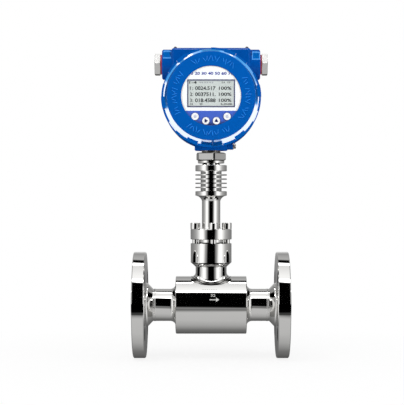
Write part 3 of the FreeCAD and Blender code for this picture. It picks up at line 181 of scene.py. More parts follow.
def piece(name, shape, material, body="meter", sharp=math.radians(35)):
    """A finished object from points and faces: doubles merged, normals out, riding a body."""
    points, faces = shape
    mesh = bpy.data.meshes.new(name)
    mesh.from_pydata(points.tolist(), [], faces.tolist())
    tidy = bmesh.new()
    tidy.from_mesh(mesh)
    bmesh.ops.remove_doubles(tidy, verts=tidy.verts, dist=1e-7)
    bmesh.ops.dissolve_degenerate(tidy, edges=tidy.edges, dist=1e-7)
    bmesh.ops.recalc_face_normals(tidy, faces=tidy.faces)
    tidy.to_mesh(mesh)
    tidy.free()
    mesh.polygons.foreach_set("use_smooth", np.ones(len(mesh.polygons), bool))
    mesh.set_sharp_from_angle(angle=sharp)
    mesh.materials.append(bpy.data.materials[material])
    made = linked(name, mesh)
    made.visible_glossy = bool(points[:, 2].min() < NUT_TOP - 0.001)
    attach(made, body)
    return made


# Numpy surfaces

def surface(grid, close_rows=True, close_columns=True):
    """Points and quads of one grid, or of many equal grids stacked on a first axis."""
    grid = np.asarray(grid, float)
    if grid.ndim == 3:
        grid = grid[None]
    number = np.arange(grid[..., 0].size).reshape(grid.shape[:3])
    if close_rows:
        number = np.concatenate([number, number[:, :1]], axis=1)
    if close_columns:
        number = np.concatenate([number, number[:, :, :1]], axis=2)
    corners = [number[:, :-1, :-1], number[:, :-1, 1:], number[:, 1:, 1:], number[:, 1:, :-1]]
    return grid.reshape(-1, 3), np.stack(corners, axis=-1).reshape(-1, 4)


def joined(*surfaces):
    """Several (points, faces) pairs as one."""
    points, faces = zip(*surfaces)
    starts = np.cumsum([0] + [len(part) for part in points[:-1]])
    return (np.concatenate(points),
            np.concatenate([part + start for part, start in zip(faces, starts)]))


def round_axis(radius, station, upright):
    """Carry a profile round the pipe's axis, or the stem's where it is upright: a point has
    its station along the axis and its radius times (cos t, sin t) across it. The radius is
    an array of (step, profile), and so is the station unless all steps share it."""
    turn = np.linspace(0, 2 * math.pi, len(radius), endpoint=False)[:, None]
    station = np.broadcast_to(station, radius.shape)
    first, second = radius * np.cos(turn), radius * np.sin(turn)
    if upright:
        return np.stack([CENTRE_X + first, second, station], axis=-1)
    return np.stack([station, first, second], axis=-1)


def bead(station):
    """Weld bead: an ellipse carried round the pipe. Its half height swells and shrinks
    as 1 + ripple * |sin(scales * t / 2)|, like the overlapping scales of a weld."""
    turn = np.linspace(0, 2 * math.pi, 360, endpoint=False)[:, None]
    around = np.linspace(0, 2 * math.pi, 24, endpoint=False)[None]
    swell = 1 + WELD_RIPPLE * np.abs(np.sin(WELD_SCALES * turn / 2))
    radius = PIPE_RADIUS - WELD_SINK + WELD_HALF_HEIGHT * swell * np.cos(around)
    lean = WELD_HALF_LENGTH * (1 + 0.3 * WELD_RIPPLE * np.cos(WELD_SCALES * turn))
    return surface(round_axis(radius, station + lean * np.sin(around), False))


def thread(pitch, low, high):
    """Screw thread: radius + depth * ramp, where the ramp is a rounded triangle wave of
    height / pitch - turn. The surface comes back down inside to close itself."""
    steps, rows = 192, 60
    turn = np.linspace(0, 1, steps, endpoint=False)[:, None]
    up = np.linspace(low, high, rows)
    wave = 0.5 - 0.5 * np.cos(2 * math.pi * ((up - low) / pitch - turn))
    outer = THREAD_RADIUS + THREAD_DEPTH * wave ** 0.8
    inner = np.full((steps, rows), THREAD_RADIUS - THREAD_DEPTH / 2)
    return surface(round_axis(np.concatenate([outer, inner], axis=1),
                              np.concatenate([up, up[::-1]]), True))


def rounded_block(rows=9, columns=16, square=0.35):
    """Unit rounded block: a superellipsoid, whose point at angles (a, b) is
    (cos a * cos b, cos a * sin b, sin a) with each sine and cosine raised to a small power."""
    tilt = np.linspace(-math.pi / 2, math.pi / 2, rows)[:, None]
    turn = np.linspace(-math.pi, math.pi, columns, endpoint=False)[None]

    def power(value):
        return np.sign(value) * np.abs(value) ** square

    flat = power(np.cos(tilt))
    return np.stack([flat * power(np.cos(turn)), flat * power(np.sin(turn)),
                     np.broadcast_to(power(np.sin(tilt)), (rows, columns))], axis=-1)


def strokes(places, half_sizes, angles, axis_y):
    """Many rounded blocks lying on a plane across Y, each turned in that plane. A block
    point (u, v, w) goes to place + u * a * (cos g, sin g) + v * b * (-sin g, cos g), and w
    stands out of the plane."""
    blocks = rounded_block() * np.asarray(half_sizes)[:, None, None]
    u, v, w = np.moveaxis(blocks, -1, 0)
    turn = np.asarray(angles)[:, None, None]
    x, z = np.asarray(places).T[..., None, None]
    return surface(np.stack([x + u * np.cos(turn) - v * np.sin(turn), axis_y + w,
                             z + u * np.sin(turn) + v * np.cos(turn)], axis=-1),
                   close_rows=False)


def text_shape(words, width, height, bold=0.0):
    """Points and faces of flat printed characters, scaled to a box centred on the origin;
    bold swells the outline by a share of the character size."""
    curve = with_values(bpy.data.curves.new("characters", "FONT"), body=words, size=1.0,
                        extrude=0.5, offset=bold, resolution_u=3)
    holder = linked("characters", curve)
    bpy.context.view_layer.update()
    mesh = bpy.data.meshes.new_from_object(holder)
    bpy.data.objects.remove(holder)
    tidy = bmesh.new()
    tidy.from_mesh(mesh)
    bmesh.ops.triangulate(tidy, faces=tidy.faces)
    tidy.to_mesh(mesh)
    tidy.free()
    points = np.zeros(len(mesh.vertices) * 3)
    mesh.vertices.foreach_get("co", points)
    faces = np.zeros(len(mesh.polygons) * 3, int)
    mesh.polygons.foreach_get("vertices", faces)
    bpy.data.meshes.remove(mesh)
    points = points.reshape(-1, 3)
    low, high = points.min(axis=0), points.max(axis=0)
    return ((points - (low + high) / 2) / (high - low) * [width, height, PRINT],
            faces.reshape(-1, 3))


def plate(outline, fan):
    """Flat sign: an outline in two layers, closed by the fan's faces and by sides."""
    count = len(outline)
    here = np.arange(count)
    after = (here + 1) % count
    sides = np.stack([[here, after, after + count], [here, after + count, here + count]])
    layers = [np.column_stack([outline, np.full(count, out)]) for out in (-PRINT / 2, PRINT / 2)]
    return (np.concatenate(layers),
            np.concatenate([fan[:, ::-1], fan + count, *sides.transpose(0, 2, 1)]))


def on_panel(shape, across, up, depth_y):
    """Stand flat characters up in the XZ plane, facing the front."""
    points, faces = shape
    x, y, z = points.T
    return np.stack([CENTRE_X + across + x, depth_y - z, HOUSING_Z + up + y], axis=-1), faces


def round_pipe(shape, across, up, radius):
    """Wrap flat characters on the pipe: height v becomes the angle v / r from the front."""
    points, faces = shape
    x, y, z = points.T
    turn = (up + y) / radius
    reach = radius + z
    return np.stack([CENTRE_X + across + x, -reach * np.cos(turn), reach * np.sin(turn)],
                    axis=-1), faces


# Node helpers

def node(tree, kind, inputs=None, **properties):
    """A shader node with its properties set by name. Its inputs are given by label or
    number: a socket is linked, and a number, vector or colour is set."""
    made = with_values(tree.nodes.new("ShaderNode" + kind), **properties)
    for label, value in (inputs or {}).items():
        socket = made.inputs[label]
        if isinstance(value, bpy.types.NodeSocket):
            tree.links.new(value, socket)
        else:
            socket.default_value = (*value, 1) if socket.type == "RGBA" else value
    return made


def maths(tree, operation, first, second=0.0, clamp=False):
    """Result of one Math node on two numbers or sockets."""
    made = node(tree, "Math", {0: first, 1: second}, operation=operation, use_clamp=clamp)
    return made.outputs[0]


def root_sum(tree, first, second):
    """Root of the sum of the two squares."""
    squares = [maths(tree, "MULTIPLY", value, value) for value in (first, second)]
    return maths(tree, "SQRT", maths(tree, "ADD", *squares))


def angle(tree, up, across):
    """Angle of a direction in degrees."""
    return maths(tree, "DEGREES", maths(tree, "ARCTAN2", up, across))


def blend(tree, share, first, second, kind="MIX"):
    """Colour that goes from the first to the second by a share."""
    made = node(tree, "Mix", {0: share, 6: first, 7: second}, data_type="RGBA",
                blend_type=kind)
    return made.outputs[2]


def reach_from(tree, place, centre):
    """Distance of a place from a centre."""
    return node(tree, "VectorMath", {0: place, 1: centre}, operation="DISTANCE").outputs["Value"]


# Shader node groups: each function gets the tree and the inputs, and returns the outputs

def variation(tree, given):
    """Cloudy and fine noise, as a roughness value, a bump height and a mask."""
    cloud, grain = [node(tree, "TexNoise", {"Vector": given["Vector"], "Scale": given[scale],
                                            "Detail": detail}).outputs["Fac"]
                    for scale, detail in (("Cloud Scale", 3), ("Grain Scale", 2))]
    spread = node(tree, "MapRange", {"Value": cloud, "From Min": 0.3, "From Max": 0.7,
                                     "To Min": given["Low"], "To Max": given["High"]})
    return {"Roughness": spread.outputs["Result"], "Height": grain, "Mask": cloud}


def tint(tree, given):
    """A colour that drifts between two near tones by a mask."""
    dark = node(tree, "VectorMath", {0: given["Colour"], "Scale": given["Darker"]},
                operation="SCALE")
    return {"Colour": blend(tree, given["Mask"], dark.outputs[0], given["Colour"])}


def stations(tree, given):
    """Where a point is: across from the stem with and without its sign, along Y, up, up
    from the head's axis, and its distances from the stem's, the head's and the pipe's axis."""
    x, depth, up = node(tree, "SeparateXYZ", {0: given["Vector"]}).outputs
    across = maths(tree, "SUBTRACT", x, CENTRE_X)
    rise = maths(tree, "SUBTRACT", up, HOUSING_Z)
    return {"Across": across, "Side": maths(tree, "ABSOLUTE", across), "Depth": depth,
            "Up": up, "Rise": rise, "From Stem": root_sum(tree, across, depth),
            "From Head": root_sum(tree, across, rise), "From Pipe": root_sum(tree, depth, up)}


def band(tree, given):
    """1 between Low and High and 0 outside, worked out as half the width plus half the
    softness, less the distance from the middle, over the softness."""
    value, low, high, soft = (given[label] for label in ("Value", "Low", "High", "Soft"))
    middle = maths(tree, "MULTIPLY", maths(tree, "ADD", low, high), 0.5)
    width = maths(tree, "ADD", maths(tree, "SUBTRACT", high, low), soft)
    gap = maths(tree, "ABSOLUTE", maths(tree, "SUBTRACT", value, middle))
    inside = maths(tree, "SUBTRACT", maths(tree, "MULTIPLY", width, 0.5), gap)
    return {"Mask": maths(tree, "DIVIDE", inside, soft, clamp=True)}


SHADER_GROUPS = {
    "surface_variation": (variation, ("Vector", "Cloud Scale", "Grain Scale", "Low", "High"),
                          ("Roughness", "Height", "Mask")),
    "tone_drift": (tint, ("Mask", "Colour", "Darker"), ("Colour",)),
    "stem_stations": (stations, ("Vector",), ("Across", "Side", "Depth", "Up", "Rise",
                                              "From Stem", "From Head", "From Pipe")),
    "soft_band": (band, ("Value", "Low", "High", "Soft"), ("Mask",)),
}


def make_group(name):
    """Make a shader node group, whose sockets get their kind from their label."""
    build, inputs, outputs = SHADER_GROUPS[name]
    kinds = {"Vector": "NodeSocketVector", "Colour": "NodeSocketColor"}
    tree = bpy.data.node_groups.new(name, "ShaderNodeTree")
    for way, labels in (("INPUT", inputs), ("OUTPUT", outputs)):
        for label in labels:
            tree.interface.new_socket(name=label, in_out=way,
                                      socket_type=kinds.get(label, "NodeSocketFloat"))
    given = tree.nodes.new("NodeGroupInput").outputs
    wanted = tree.nodes.new("NodeGroupOutput").inputs
    for label, socket in build(tree, given).items():
        tree.links.new(socket, wanted[label])


def group(tree, name, inputs):
    """Outputs of a shader node group put into a tree."""
    return node(tree, "Group", inputs, node_tree=bpy.data.node_groups[name]).outputs


def object_place(tree):
    """Object coordinates."""
    return node(tree, "TexCoord").outputs["Object"]


def where(tree):
    """Outputs of the group that says where a point is."""
    return group(tree, "stem_stations", {"Vector": object_place(tree)})


def within(tree, value, low, high, soft=0.0004):
    """1 between two values and 0 outside, with soft edges half inside and half outside."""
    inputs = {"Value": value, "Low": low, "High": high, "Soft": soft}
    return group(tree, "soft_band", inputs)["Mask"]


def zone(tree, at, limits):
    """Product of several limits. A limit is a measure's label with its low and its high
    value and, where it isn't the usual one, the softness of its edges. Without a low or a
    high value it is one hard edge."""
    masks = []
    for label, low, high, *soft in limits:
        if low is None:
            masks.append(maths(tree, "LESS_THAN", at[label], high))
        elif high is None:
            masks.append(maths(tree, "GREATER_THAN", at[label], low))
        else:
            masks.append(within(tree, at[label], low, high, *soft))
    return reduce(lambda first, second: maths(tree, "MULTIPLY", first, second), masks)


def highest(tree, masks):
    """The highest of several masks."""
    return reduce(lambda first, second: maths(tree, "MAXIMUM", first, second), masks)


# Finishes

def new_material(name, colour, roughness, metallic=0.0, cloud=60.0, grain=2500.0,
                 darker=0.9, bump=0.02, bump_distance=0.0002, height=0.13, **sockets):
    """A material with drifting tone, uneven roughness and a fine bump, all from Object
    coordinates about a height on the stem; roughness is a (low, high) pair and sockets
    set the shader's own values."""
    made = bpy.data.materials.new(name)
    made.use_nodes = True
    made.diffuse_color = (*colour, 1)
    tree = made.node_tree
    shader = tree.nodes["Principled BSDF"].inputs
    mapping = node(tree, "Mapping", {"Vector": object_place(tree),
                                     "Location": (-CENTRE_X, 0, -height)})
    noise = group(tree, "surface_variation", {
        "Vector": mapping.outputs["Vector"], "Cloud Scale": cloud, "Grain Scale": grain,
        "Low": roughness[0], "High": roughness[1]})
    tone = group(tree, "tone_drift", {"Mask": noise["Mask"], "Colour": colour,
                                      "Darker": darker})
    relief = node(tree, "Bump", {"Height": noise["Height"], "Strength": bump,
                                 "Distance": bump_distance})
    for label, socket in (("Base Color", tone["Colour"]), ("Roughness", noise["Roughness"]),
                          ("Normal", relief.outputs["Normal"])):
        tree.links.new(socket, shader[label])
    shader["Metallic"].default_value = metallic
    for label, value in sockets.items():
        shader[label.replace("_", " ")].default_value = value


def shade(material, colour, *places):
    """Lay a colour over a material's own in one or more places, each a group of limits."""
    tree = bpy.data.materials[material].node_tree
    at = where(tree)
    base = tree.nodes["Principled BSDF"].inputs["Base Color"]
    mask = highest(tree, [zone(tree, at, limits) for limits in places])
    tree.links.new(blend(tree, mask, base.links[0].from_socket, colour), base)


# Finishes without a setting: colour, range of roughness, and what isn't as usual
PLAIN_FINISHES = {
    "nut_steel": ((0.46, 0.455, 0.445), (0.05, 0.09), dict(
        metallic=1.0, cloud=120, grain=3000, darker=0.92, bump=0.004, height=NUT_TOP)),
    "earth_steel": ((0.30, 0.27, 0.26), (0.15, 0.3), dict(
        metallic=1.0, cloud=300, height=HOUSING_BOTTOM)),
    "dark_thread": ((0.22, 0.22, 0.22), (0.2, 0.35), dict(
        metallic=1.0, cloud=400, height=NUT_TOP)),
    "dark_stud": ((0.10, 0.07, 0.08), (0.3, 0.5), dict(
        metallic=1.0, cloud=300, height=HOUSING_Z + 0.07)),
    "bare_aluminium": ((0.62, 0.62, 0.62), (0.3, 0.45), dict(metallic=1.0)),
    "brass": ((0.72, 0.53, 0.22), (0.15, 0.3), dict(metallic=1.0)),
    "red_washer": ((0.45, 0.03, 0.045), (0.35, 0.5), dict(cloud=250)),
    "black_rubber": ((0.012, 0.012, 0.013), (0.5, 0.7)),
    "ceramic": ((0.82, 0.80, 0.74), (0.3, 0.4)),
    "cable_sheath": ((0.02, 0.02, 0.022), (0.4, 0.55)),
    "circuit_board": ((0.01, 0.11, 0.035), (0.3, 0.5)),
    "black_plastic": ((0.02, 0.02, 0.02), (0.35, 0.5)),
    "white_plastic": ((0.8, 0.8, 0.78), (0.35, 0.5)),
    "green_plastic": ((0.02, 0.25, 0.08), (0.35, 0.5)),
    "dark_frame": ((0.10, 0.10, 0.19), (0.3, 0.45)),
    # The display and the printed sheet glow faintly: painted light that brightens them
    "display_glass": ((0.575, 0.615, 0.60), (0.12, 0.2), dict(
        cloud=30, darker=0.97, height=HOUSING_Z, Emission_Strength=0.09)),
    "panel_print": ((0.90, 0.925, 0.95), (0.35, 0.45), dict(
        cloud=40, darker=0.97, height=HOUSING_Z, Emission_Strength=0.2)),
    "key_cap": ((0.97, 0.97, 0.98), (0.25, 0.35), dict(
        cloud=200, darker=0.98, height=HOUSING_Z)),
    "display_ink": ((0.03, 0.035, 0.04), (0.35, 0.5)),
    "faint_ink": ((0.36, 0.37, 0.42), (0.35, 0.5)),
    "key_ink": ((0.008, 0.014, 0.13), (0.3, 0.4)),
    "pale_key_ink": ((0.30, 0.33, 0.62), (0.3, 0.4)),
    "scale_ink": ((0.035, 0.04, 0.36), (0.35, 0.5)),
    "fine_mark": ((0.30, 0.30, 0.29), (0.5, 0.65), dict(cloud=400)),
    "etched_mark": ((0.55, 0.55, 0.53), (0.5, 0.65), dict(cloud=400)),
}
# Polished steels and the height that their noise goes by
STEEL_HEIGHTS = {"polished_steel": 0.13, "nipple_steel": NUT_TOP, "neck_steel": FINS_LOW,
                 "flange_steel": 0.0, "body_steel": 0.0}
# Finishes that differ from the node's material slot
OWN_FINISHES = {
    "lock_nut": "nut_steel", "neck_nipple": "nipple_steel", "finned_neck": "neck_steel",
    "inlet_flange": "flange_steel", "outlet_flange": "flange_steel",
    "meter_body": "body_steel", "earth_screw": "earth_steel", "earth_washer": "earth_steel",
    "top_studs": "dark_stud", "housing_case": "case_paint", "rear_cover": "case_paint",
}

FRONT = ("Depth", None, 0.0)
PAD_FRONT = ("Depth", None, -0.006)
LEFT_PAD = ("Across", -0.0630, -0.0522)
RIGHT_PAD = ("Across", 0.0535, 0.0641)
RIGHT_PAD_UP = ("Up", 0.3222, 0.3331)
RIM = ("From Pipe", 0.0680, None)
SADDLE = (("Depth", None, 0.004), ("Up", 0.020, None))
FINS = ("Up", FINS_LOW, FINS_HIGH, 0.0002)
FIN_CORE = ("From Stem", None, FIN_CORE_RADIUS + 0.0003)
FIN_EDGE = ("From Stem", FIN_CORE_RADIUS + 0.0050, None)
# Painted reflections, highlights and shade, mostly dark, that stand in for what neighbouring
# parts
# show in each other: a material, the colour, and each place as a group of limits
PAINTED_SHADE_AND_HIGHLIGHTS = (
    # Painted reflections: lighter pad fields and upper part of the boss; painted highlights on
    # pad edges
    ("case_paint", (0.001, 0.108, 0.42),
     (LEFT_PAD, ("Up", 0.3246, 0.3330), PAD_FRONT),
     (("Across", 0.0538, 0.0638), ("Up", 0.3230, 0.3320), PAD_FRONT)),
    ("case_paint", (0.004, 0.125, 0.440),
     (("Up", HOUSING_BOTTOM + 0.0085, HOUSING_BOTTOM + 0.0165, 0.004),
      ("Across", -0.0200, 0.0205))),
    ("case_paint", (0.085, 0.33, 0.78),
     (LEFT_PAD, ("Up", 0.3326, 0.3344, 0.0008), PAD_FRONT),
     (LEFT_PAD, ("Up", 0.3239, 0.3253, 0.0008), PAD_FRONT),
     (RIGHT_PAD, ("Up", 0.3314, 0.3331, 0.0008), PAD_FRONT),
     (RIGHT_PAD, ("Up", 0.3222, 0.3235, 0.0008), PAD_FRONT),
     (("Across", 0.0535, 0.0546), RIGHT_PAD_UP, PAD_FRONT),
     (("Across", 0.0630, 0.0641), RIGHT_PAD_UP, PAD_FRONT)),
    # Painted reflections: dark chamfers and front corner of the nut, dark middle of the thread
    # above it
    ("nut_steel", (0.10, 0.10, 0.10), (("Up", NUT_BOTTOM - 0.001, NUT_BOTTOM + 0.0009, 0.0006),)),
    ("nut_steel", (0.03, 0.026, 0.026), (("Up", NUT_TOP - 0.0014, NUT_TOP + 0.001, 0.0006),)),
    ("nut_steel", (0.004, 0.004, 0.004), (("Across", 0.0027, 0.0052), FRONT)),
    ("dark_thread", (0.01, 0.01, 0.01), (("Across", -0.0048, 0.0048, 0.001),)),
    # Painted shade in the groove under the collar
    ("nipple_steel", (0.006, 0.006, 0.006),
     (("Side", 0.0050, 0.0106, 0.0008), ("Up", None, COLLAR_BOTTOM + 0.0002))),
    # Painted reflections: a grey and a black band on the front of the flanges' rims
    ("flange_steel", (0.20, 0.20, 0.195), (RIM, FRONT, ("Up", -0.0080, 0.0040, 0.0010))),
    ("flange_steel", (0.004, 0.004, 0.004), (RIM, FRONT, ("Up", -0.0048, 0.0060, 0.0005))),
    # Painted reflections: dark rings round the foot of the branch
    ("body_steel", (0.03, 0.03, 0.03), (*SADDLE, ("From Stem", 0.0251, 0.0266, 0.0006))),
    ("body_steel", (0.12, 0.12, 0.12), (*SADDLE, ("From Stem", 0.0226, 0.0233, 0.0005))),
    # Painted reflections and shade: the fins' grooves and edges, and dark dots under them
    ("neck_steel", (0.52, 0.52, 0.51), (FINS, FIN_CORE, ("Side", 0.0100, 0.0150, 0.001))),
    ("neck_steel", (0.22, 0.22, 0.215), (FINS, FIN_CORE, ("Side", 0.0067, 0.0100, 0.001))),
    ("neck_steel", (0.46, 0.46, 0.45), (FINS, FIN_EDGE, ("Side", 0.0098, 0.0250, 0.001))),
    ("neck_steel", (0.02, 0.02, 0.02), (FINS, FIN_EDGE, ("Side", 0.0018, 0.0062, 0.0008))),
    ("neck_steel", (0.006, 0.006, 0.006),
     (("Side", -0.0016, 0.0018), ("Up", 0.1398, 0.1424), FRONT),
     (("Side", 0.0046, 0.0085), ("Up", 0.1409, 0.1428), FRONT),
     (("Side", 0.0069, 0.0096), ("Up", 0.1389, 0.1409), FRONT)),
    # Painted shadow on the side of the keys, which starts just behind their front face
    ("key_cap", (0.03, 0.06, 0.30), (("Depth", KEY_FRONT_Y + 0.00012, 0.1, 0.00008),)),
)
# Where the enamel's coat is thin and looks matt: the share that is taken off, and where
THIN_COATS = {
    # The cover's face and the lower part of its rim
    "blue_paint": ((0.93, (("Depth", -0.1, COVER_FACE_Y + 0.0008),)),
                   (1.0, (("From Head", 0.0637, None), ("Rise", None, -0.02)))),
    # The boss under the covers and the fronts of the case's shoulders
    "case_paint": ((0.97, (("Up", 0.19, HOUSING_BOTTOM + 0.0125, 0.003),)),
                   (0.85, (("Side", 0.0480, None), ("Depth", None, 0.004),
                           ("Up", HOUSING_Z + 0.02, BLOCK_TOP - 0.0013)))),
}


class FLOWMETER_OT_finishes(bpy.types.Operator):
    """Make every finish of the meter"""
    bl_idname = "flowmeter.finishes"
    bl_label = "Make finishes"

    def execute(self, context):
        metal = context.scene.flowmeter_metal
        paint = context.scene.flowmeter_paint
        for plain in list(bpy.data.materials):
            bpy.data.materials.remove(plain)
        for name in SHADER_GROUPS:
            make_group(name)
        for name, (colour, roughness, *rest) in PLAIN_FINISHES.items():
            new_material(name, colour, roughness, **dict(*rest))
        steel = metal.steel_roughness
        for name, height in STEEL_HEIGHTS.items():
            new_material(name, metal.steel_colour, (steel * 0.6, steel * 1.4), 1.0, cloud=45,
                         grain=400, darker=0.96, bump=0.0008, height=height)
        new_material("plug_steel", metal.plug_colour, (0.1, 0.2), 1.0, cloud=160, grain=5000,
                     height=HOUSING_Z + 0.046)
        enamel = dict(cloud=35, grain=700, height=HOUSING_Z, Specular_IOR_Level=0.0)
        coat = dict(enamel, bump=paint.peel, bump_distance=0.0004, Coat_Weight=paint.gloss)
        new_material("blue_paint", paint.colour, (0.28, 0.36), darker=0.93,
                     Coat_Roughness=0.03, **coat)
        new_material("case_paint", (0.0004, 0.074, 0.360), (0.28, 0.36), darker=0.9,
                     Coat_Roughness=0.04, **coat)
        # Lighter blue of the raised strokes: a painted highlight for the light their upper sides
        # catch
        new_material("raised_paint", (0.012, 0.205, 0.70), (0.28, 0.36), darker=0.93,
                     Coat_Weight=0.3, Coat_Roughness=0.1, **enamel)
        # Lay on the painted reflections, highlights and shade
        for material, colour, *places in PAINTED_SHADE_AND_HIGHLIGHTS:
            shade(material, colour, *places)
        self.print_panel(context.scene.flowmeter_dial.print_colour)
        self.thin_coats(paint.gloss)
        self.clear_glass()
        return {"FINISHED"}

    @staticmethod
    def print_panel(colour):
        """Key band printed on the white sheet; painted shadow of the window's rim, which darkens
        the band towards its bottom and the sheet towards the window's edge; and a painted glow in
        the sheet's colour."""
        shade("panel_print", colour, (("Rise", -0.1, -0.0182, 0.00024),))
        # Painted shadow of the window's rim: the band darker towards its bottom
        shade("panel_print", [tone * 0.42 for tone in colour],
              (("Rise", -0.1, -0.0325, 0.0056),))
        tree = bpy.data.materials["panel_print"].node_tree
        shader = tree.nodes["Principled BSDF"].inputs
        # Painted shadow of the window's rim: the sheet darker towards the window's edge
        reach = reach_from(tree, object_place(tree), (CENTRE_X, PANEL_Y, HOUSING_Z + 0.0012))
        edge = node(tree, "MapRange", {"Value": reach, "From Min": 0.0358, "From Max": 0.0392})
        shaded = blend(tree, edge.outputs["Result"], shader["Base Color"].links[0].from_socket,
                       (0.58, 0.52, 0.46), "MULTIPLY")
        # The shaded colour also feeds the glow: painted light that brightens the sheet
        for label in ("Base Color", "Emission Color"):
            tree.links.new(shaded, shader[label])

    @staticmethod
    def thin_coats(gloss):
        """Take the coat off the enamel where it looks matt."""
        for material, places in THIN_COATS.items():
            tree = bpy.data.materials[material].node_tree
            at = where(tree)
            off = highest(tree, [maths(tree, "MULTIPLY", zone(tree, at, limits), share)
                                 for share, limits in places])
            weight = maths(tree, "MULTIPLY", maths(tree, "SUBTRACT", 1.0, off), gloss)
            tree.links.new(weight, tree.nodes["Principled BSDF"].inputs["Coat Weight"])

    @staticmethod
    def clear_glass():
        """Plain clear glass of the window."""
        made = bpy.data.materials.new("clear_glass")
        made.use_nodes = True
        shader = made.node_tree.nodes["Principled BSDF"].inputs
        for label, value in (("Base Color", (0.97, 0.99, 0.98, 1)), ("Metallic", 0),
                             ("Transmission Weight", 1), ("IOR", 1.46), ("Roughness", 0)):
            shader[label].default_value = value


class FLOWMETER_OT_cad_pieces(bpy.types.Operator):
    """Give each CAD node its finish and smooth its curved faces"""
    bl_idname = "flowmeter.cad_pieces"
    bl_label = "Dress CAD pieces"

    def execute(self, context):
        finish = {part["node"]: part["material_slot"] for part in frame["record"]["subparts"]}
        finish.update(OWN_FINISHES)
        for name, shown in frame["nodes"].items():
            mesh = shown.data
            mesh.materials.clear()
            mesh.materials.append(bpy.data.materials[finish[name]])
            mesh.polygons.foreach_set("use_smooth", np.ones(len(mesh.polygons), bool))
            solid = name not in CLEAR_OF_THE_DIAL
            with_values(shown, visible_shadow=solid, visible_diffuse=solid,
                        visible_glossy=bool(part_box(name)[0][2] < NUT_TOP - 0.001))
            with_values(shown.modifiers.new("weld", "WELD"), merge_threshold=2e-6)
            if name == "lock_nut":
                with_values(shown.modifiers.new("corner", "BEVEL"), width=0.0022, segments=4,
                            angle_limit=math.radians(50))
            with_values(shown.modifiers.new("split", "EDGE_SPLIT"), use_edge_sharp=False,
                        split_angle=math.radians(28))
            with_values(shown.modifiers.new("even", "WEIGHTED_NORMAL"), mode="FACE_AREA",
                        weight=80, keep_sharp=True)
        return {"FINISHED"}


# Pieces

class FLOWMETER_OT_welds(bpy.types.Operator):
    """Weld beads between the flanges and the pipe stubs"""
    bl_idname = "flowmeter.welds"
    bl_label = "Weld beads"

    def execute(self, context):
        for name, station in (("inlet_weld", FACE_LOW + WELD_INSET),
                              ("outlet_weld", FACE_HIGH - WELD_INSET)):
            piece(name, bead(station), "polished_steel")
        return {"FINISHED"}


class FLOWMETER_OT_thread(bpy.types.Operator):
    """Thread of the nipple, seen between the lock nut and the housing"""
    bl_idname = "flowmeter.thread"
    bl_label = "Nipple thread"

    def execute(self, context):
        pitch = context.scene.flowmeter_metal.thread_pitch
        piece("nipple_thread", thread(pitch, NUT_TOP - 0.0001, HOUSING_BOTTOM + 0.0001),
              "dark_thread")
        return {"FINISHED"}


class FLOWMETER_OT_cover_marks(bpy.types.Operator):
    """Raised strokes in four arcs round the front cover's face"""
    bl_idname = "flowmeter.cover_marks"
    bl_label = "Cover marks"

    def execute(self, context):
        count = context.scene.flowmeter_dial.tick_count
        number = np.arange(count)
        turn = 2 * math.pi * (number + 0.5) / count
        quarter = (np.degrees(turn) + 52) % 90
        kept = (quarter > 12) & (quarter < 80) & (number % 7 != 3)
        number, turn = number[kept], turn[kept]
        middle = STROKE_RADIUS + STROKE_SWING * np.sin(number * 2.4)
        length = np.select([number % 3 == 0, number % 3 == 1], [0.0039, 0.0026], 0.0032)
        lean = 0.55 * np.sin(number * 1.7)
        places = np.stack([CENTRE_X + middle * np.cos(turn), HOUSING_Z + middle * np.sin(turn)],
                          axis=-1)
        half = np.stack([length, np.full(len(turn), 0.00052), np.full(len(turn), 0.00075)],
                        axis=-1)
        crown = COVER_FACE_Y + (WINDOW_FACE_Y - COVER_FACE_Y) * (
            (COVER_FACE_RADIUS - middle.mean()) / (COVER_FACE_RADIUS - WINDOW_RADIUS))
        piece("cover_marks", strokes(places, half, turn + lean, crown), "raised_paint",
              sharp=math.radians(60))
        return {"FINISHED"}


class FLOWMETER_OT_dial_print(bpy.types.Operator):
    """Plain numbers printed above the display"""
    bl_idname = "flowmeter.dial_print"
    bl_label = "Dial print"

    def execute(self, context):
        words = context.scene.flowmeter_dial.scale_text
        shape = on_panel(text_shape(words, 0.057, 0.0040, bold=0.034), 0, 0.0299, PANEL_Y)
        piece("scale_numbers", shape, "scale_ink")
        return {"FINISHED"}


class FLOWMETER_OT_display(bpy.types.Operator):
    """Numbers on the liquid crystal display"""
    bl_idname = "flowmeter.display"
    bl_label = "Display numbers"

    def execute(self, context):
        reading = context.scene.flowmeter_dial.reading
        texts = []
        for number, words in enumerate((f"{reading:08.3f}", f"{reading * 1530:07.0f}.",
                                        f"{reading * 0.7529:08.4f}")):
            up = 0.0066 - 0.0078 * number
            texts += [(words, -0.0074, up, 0.0264, 0.0049, 0.026),
                      (f"{number + 1}:", -0.0252, up, 0.0042, 0.0044, 0.010),
                      ("100%", 0.0180, up, 0.0160, 0.0044, 0.022)]
        for words, across, up, width, height in (
                ("1-4", -0.0233, 0.0140, 0.0096, 0.0034), ("2.5", 0.0155, 0.0140, 0.0040, 0.0018),
                ("7.5", 0.0226, 0.0140, 0.0036, 0.0018), ("12", -0.0252, -0.0138, 0.0034, 0.0024),
                ("34", -0.0130, -0.0138, 0.0036, 0.0024),
                ("4-20.00", 0.0195, -0.0138, 0.0148, 0.0023)):
            texts.append((words, across, up, width, height, 0.024))
        shapes = [on_panel(text_shape(words, width, height, bold), across, LCD_RISE + up, LCD_Y)
                  for words, across, up, width, height, bold in texts]
        piece("display_numbers", joined(*shapes), "display_ink")
        faint = [(CENTRE_X + across, HOUSING_Z + LCD_RISE + 0.0140)
                 for across in (-0.0140, -0.0112, -0.0078, -0.0048, -0.0012, 0.0018)]
        bars = strokes(faint, np.tile([0.0009, 0.0008, PRINT / 2], (6, 1)), np.zeros(6), LCD_Y)
        piece("display_marks", bars, "faint_ink")
        return {"FINISHED"}


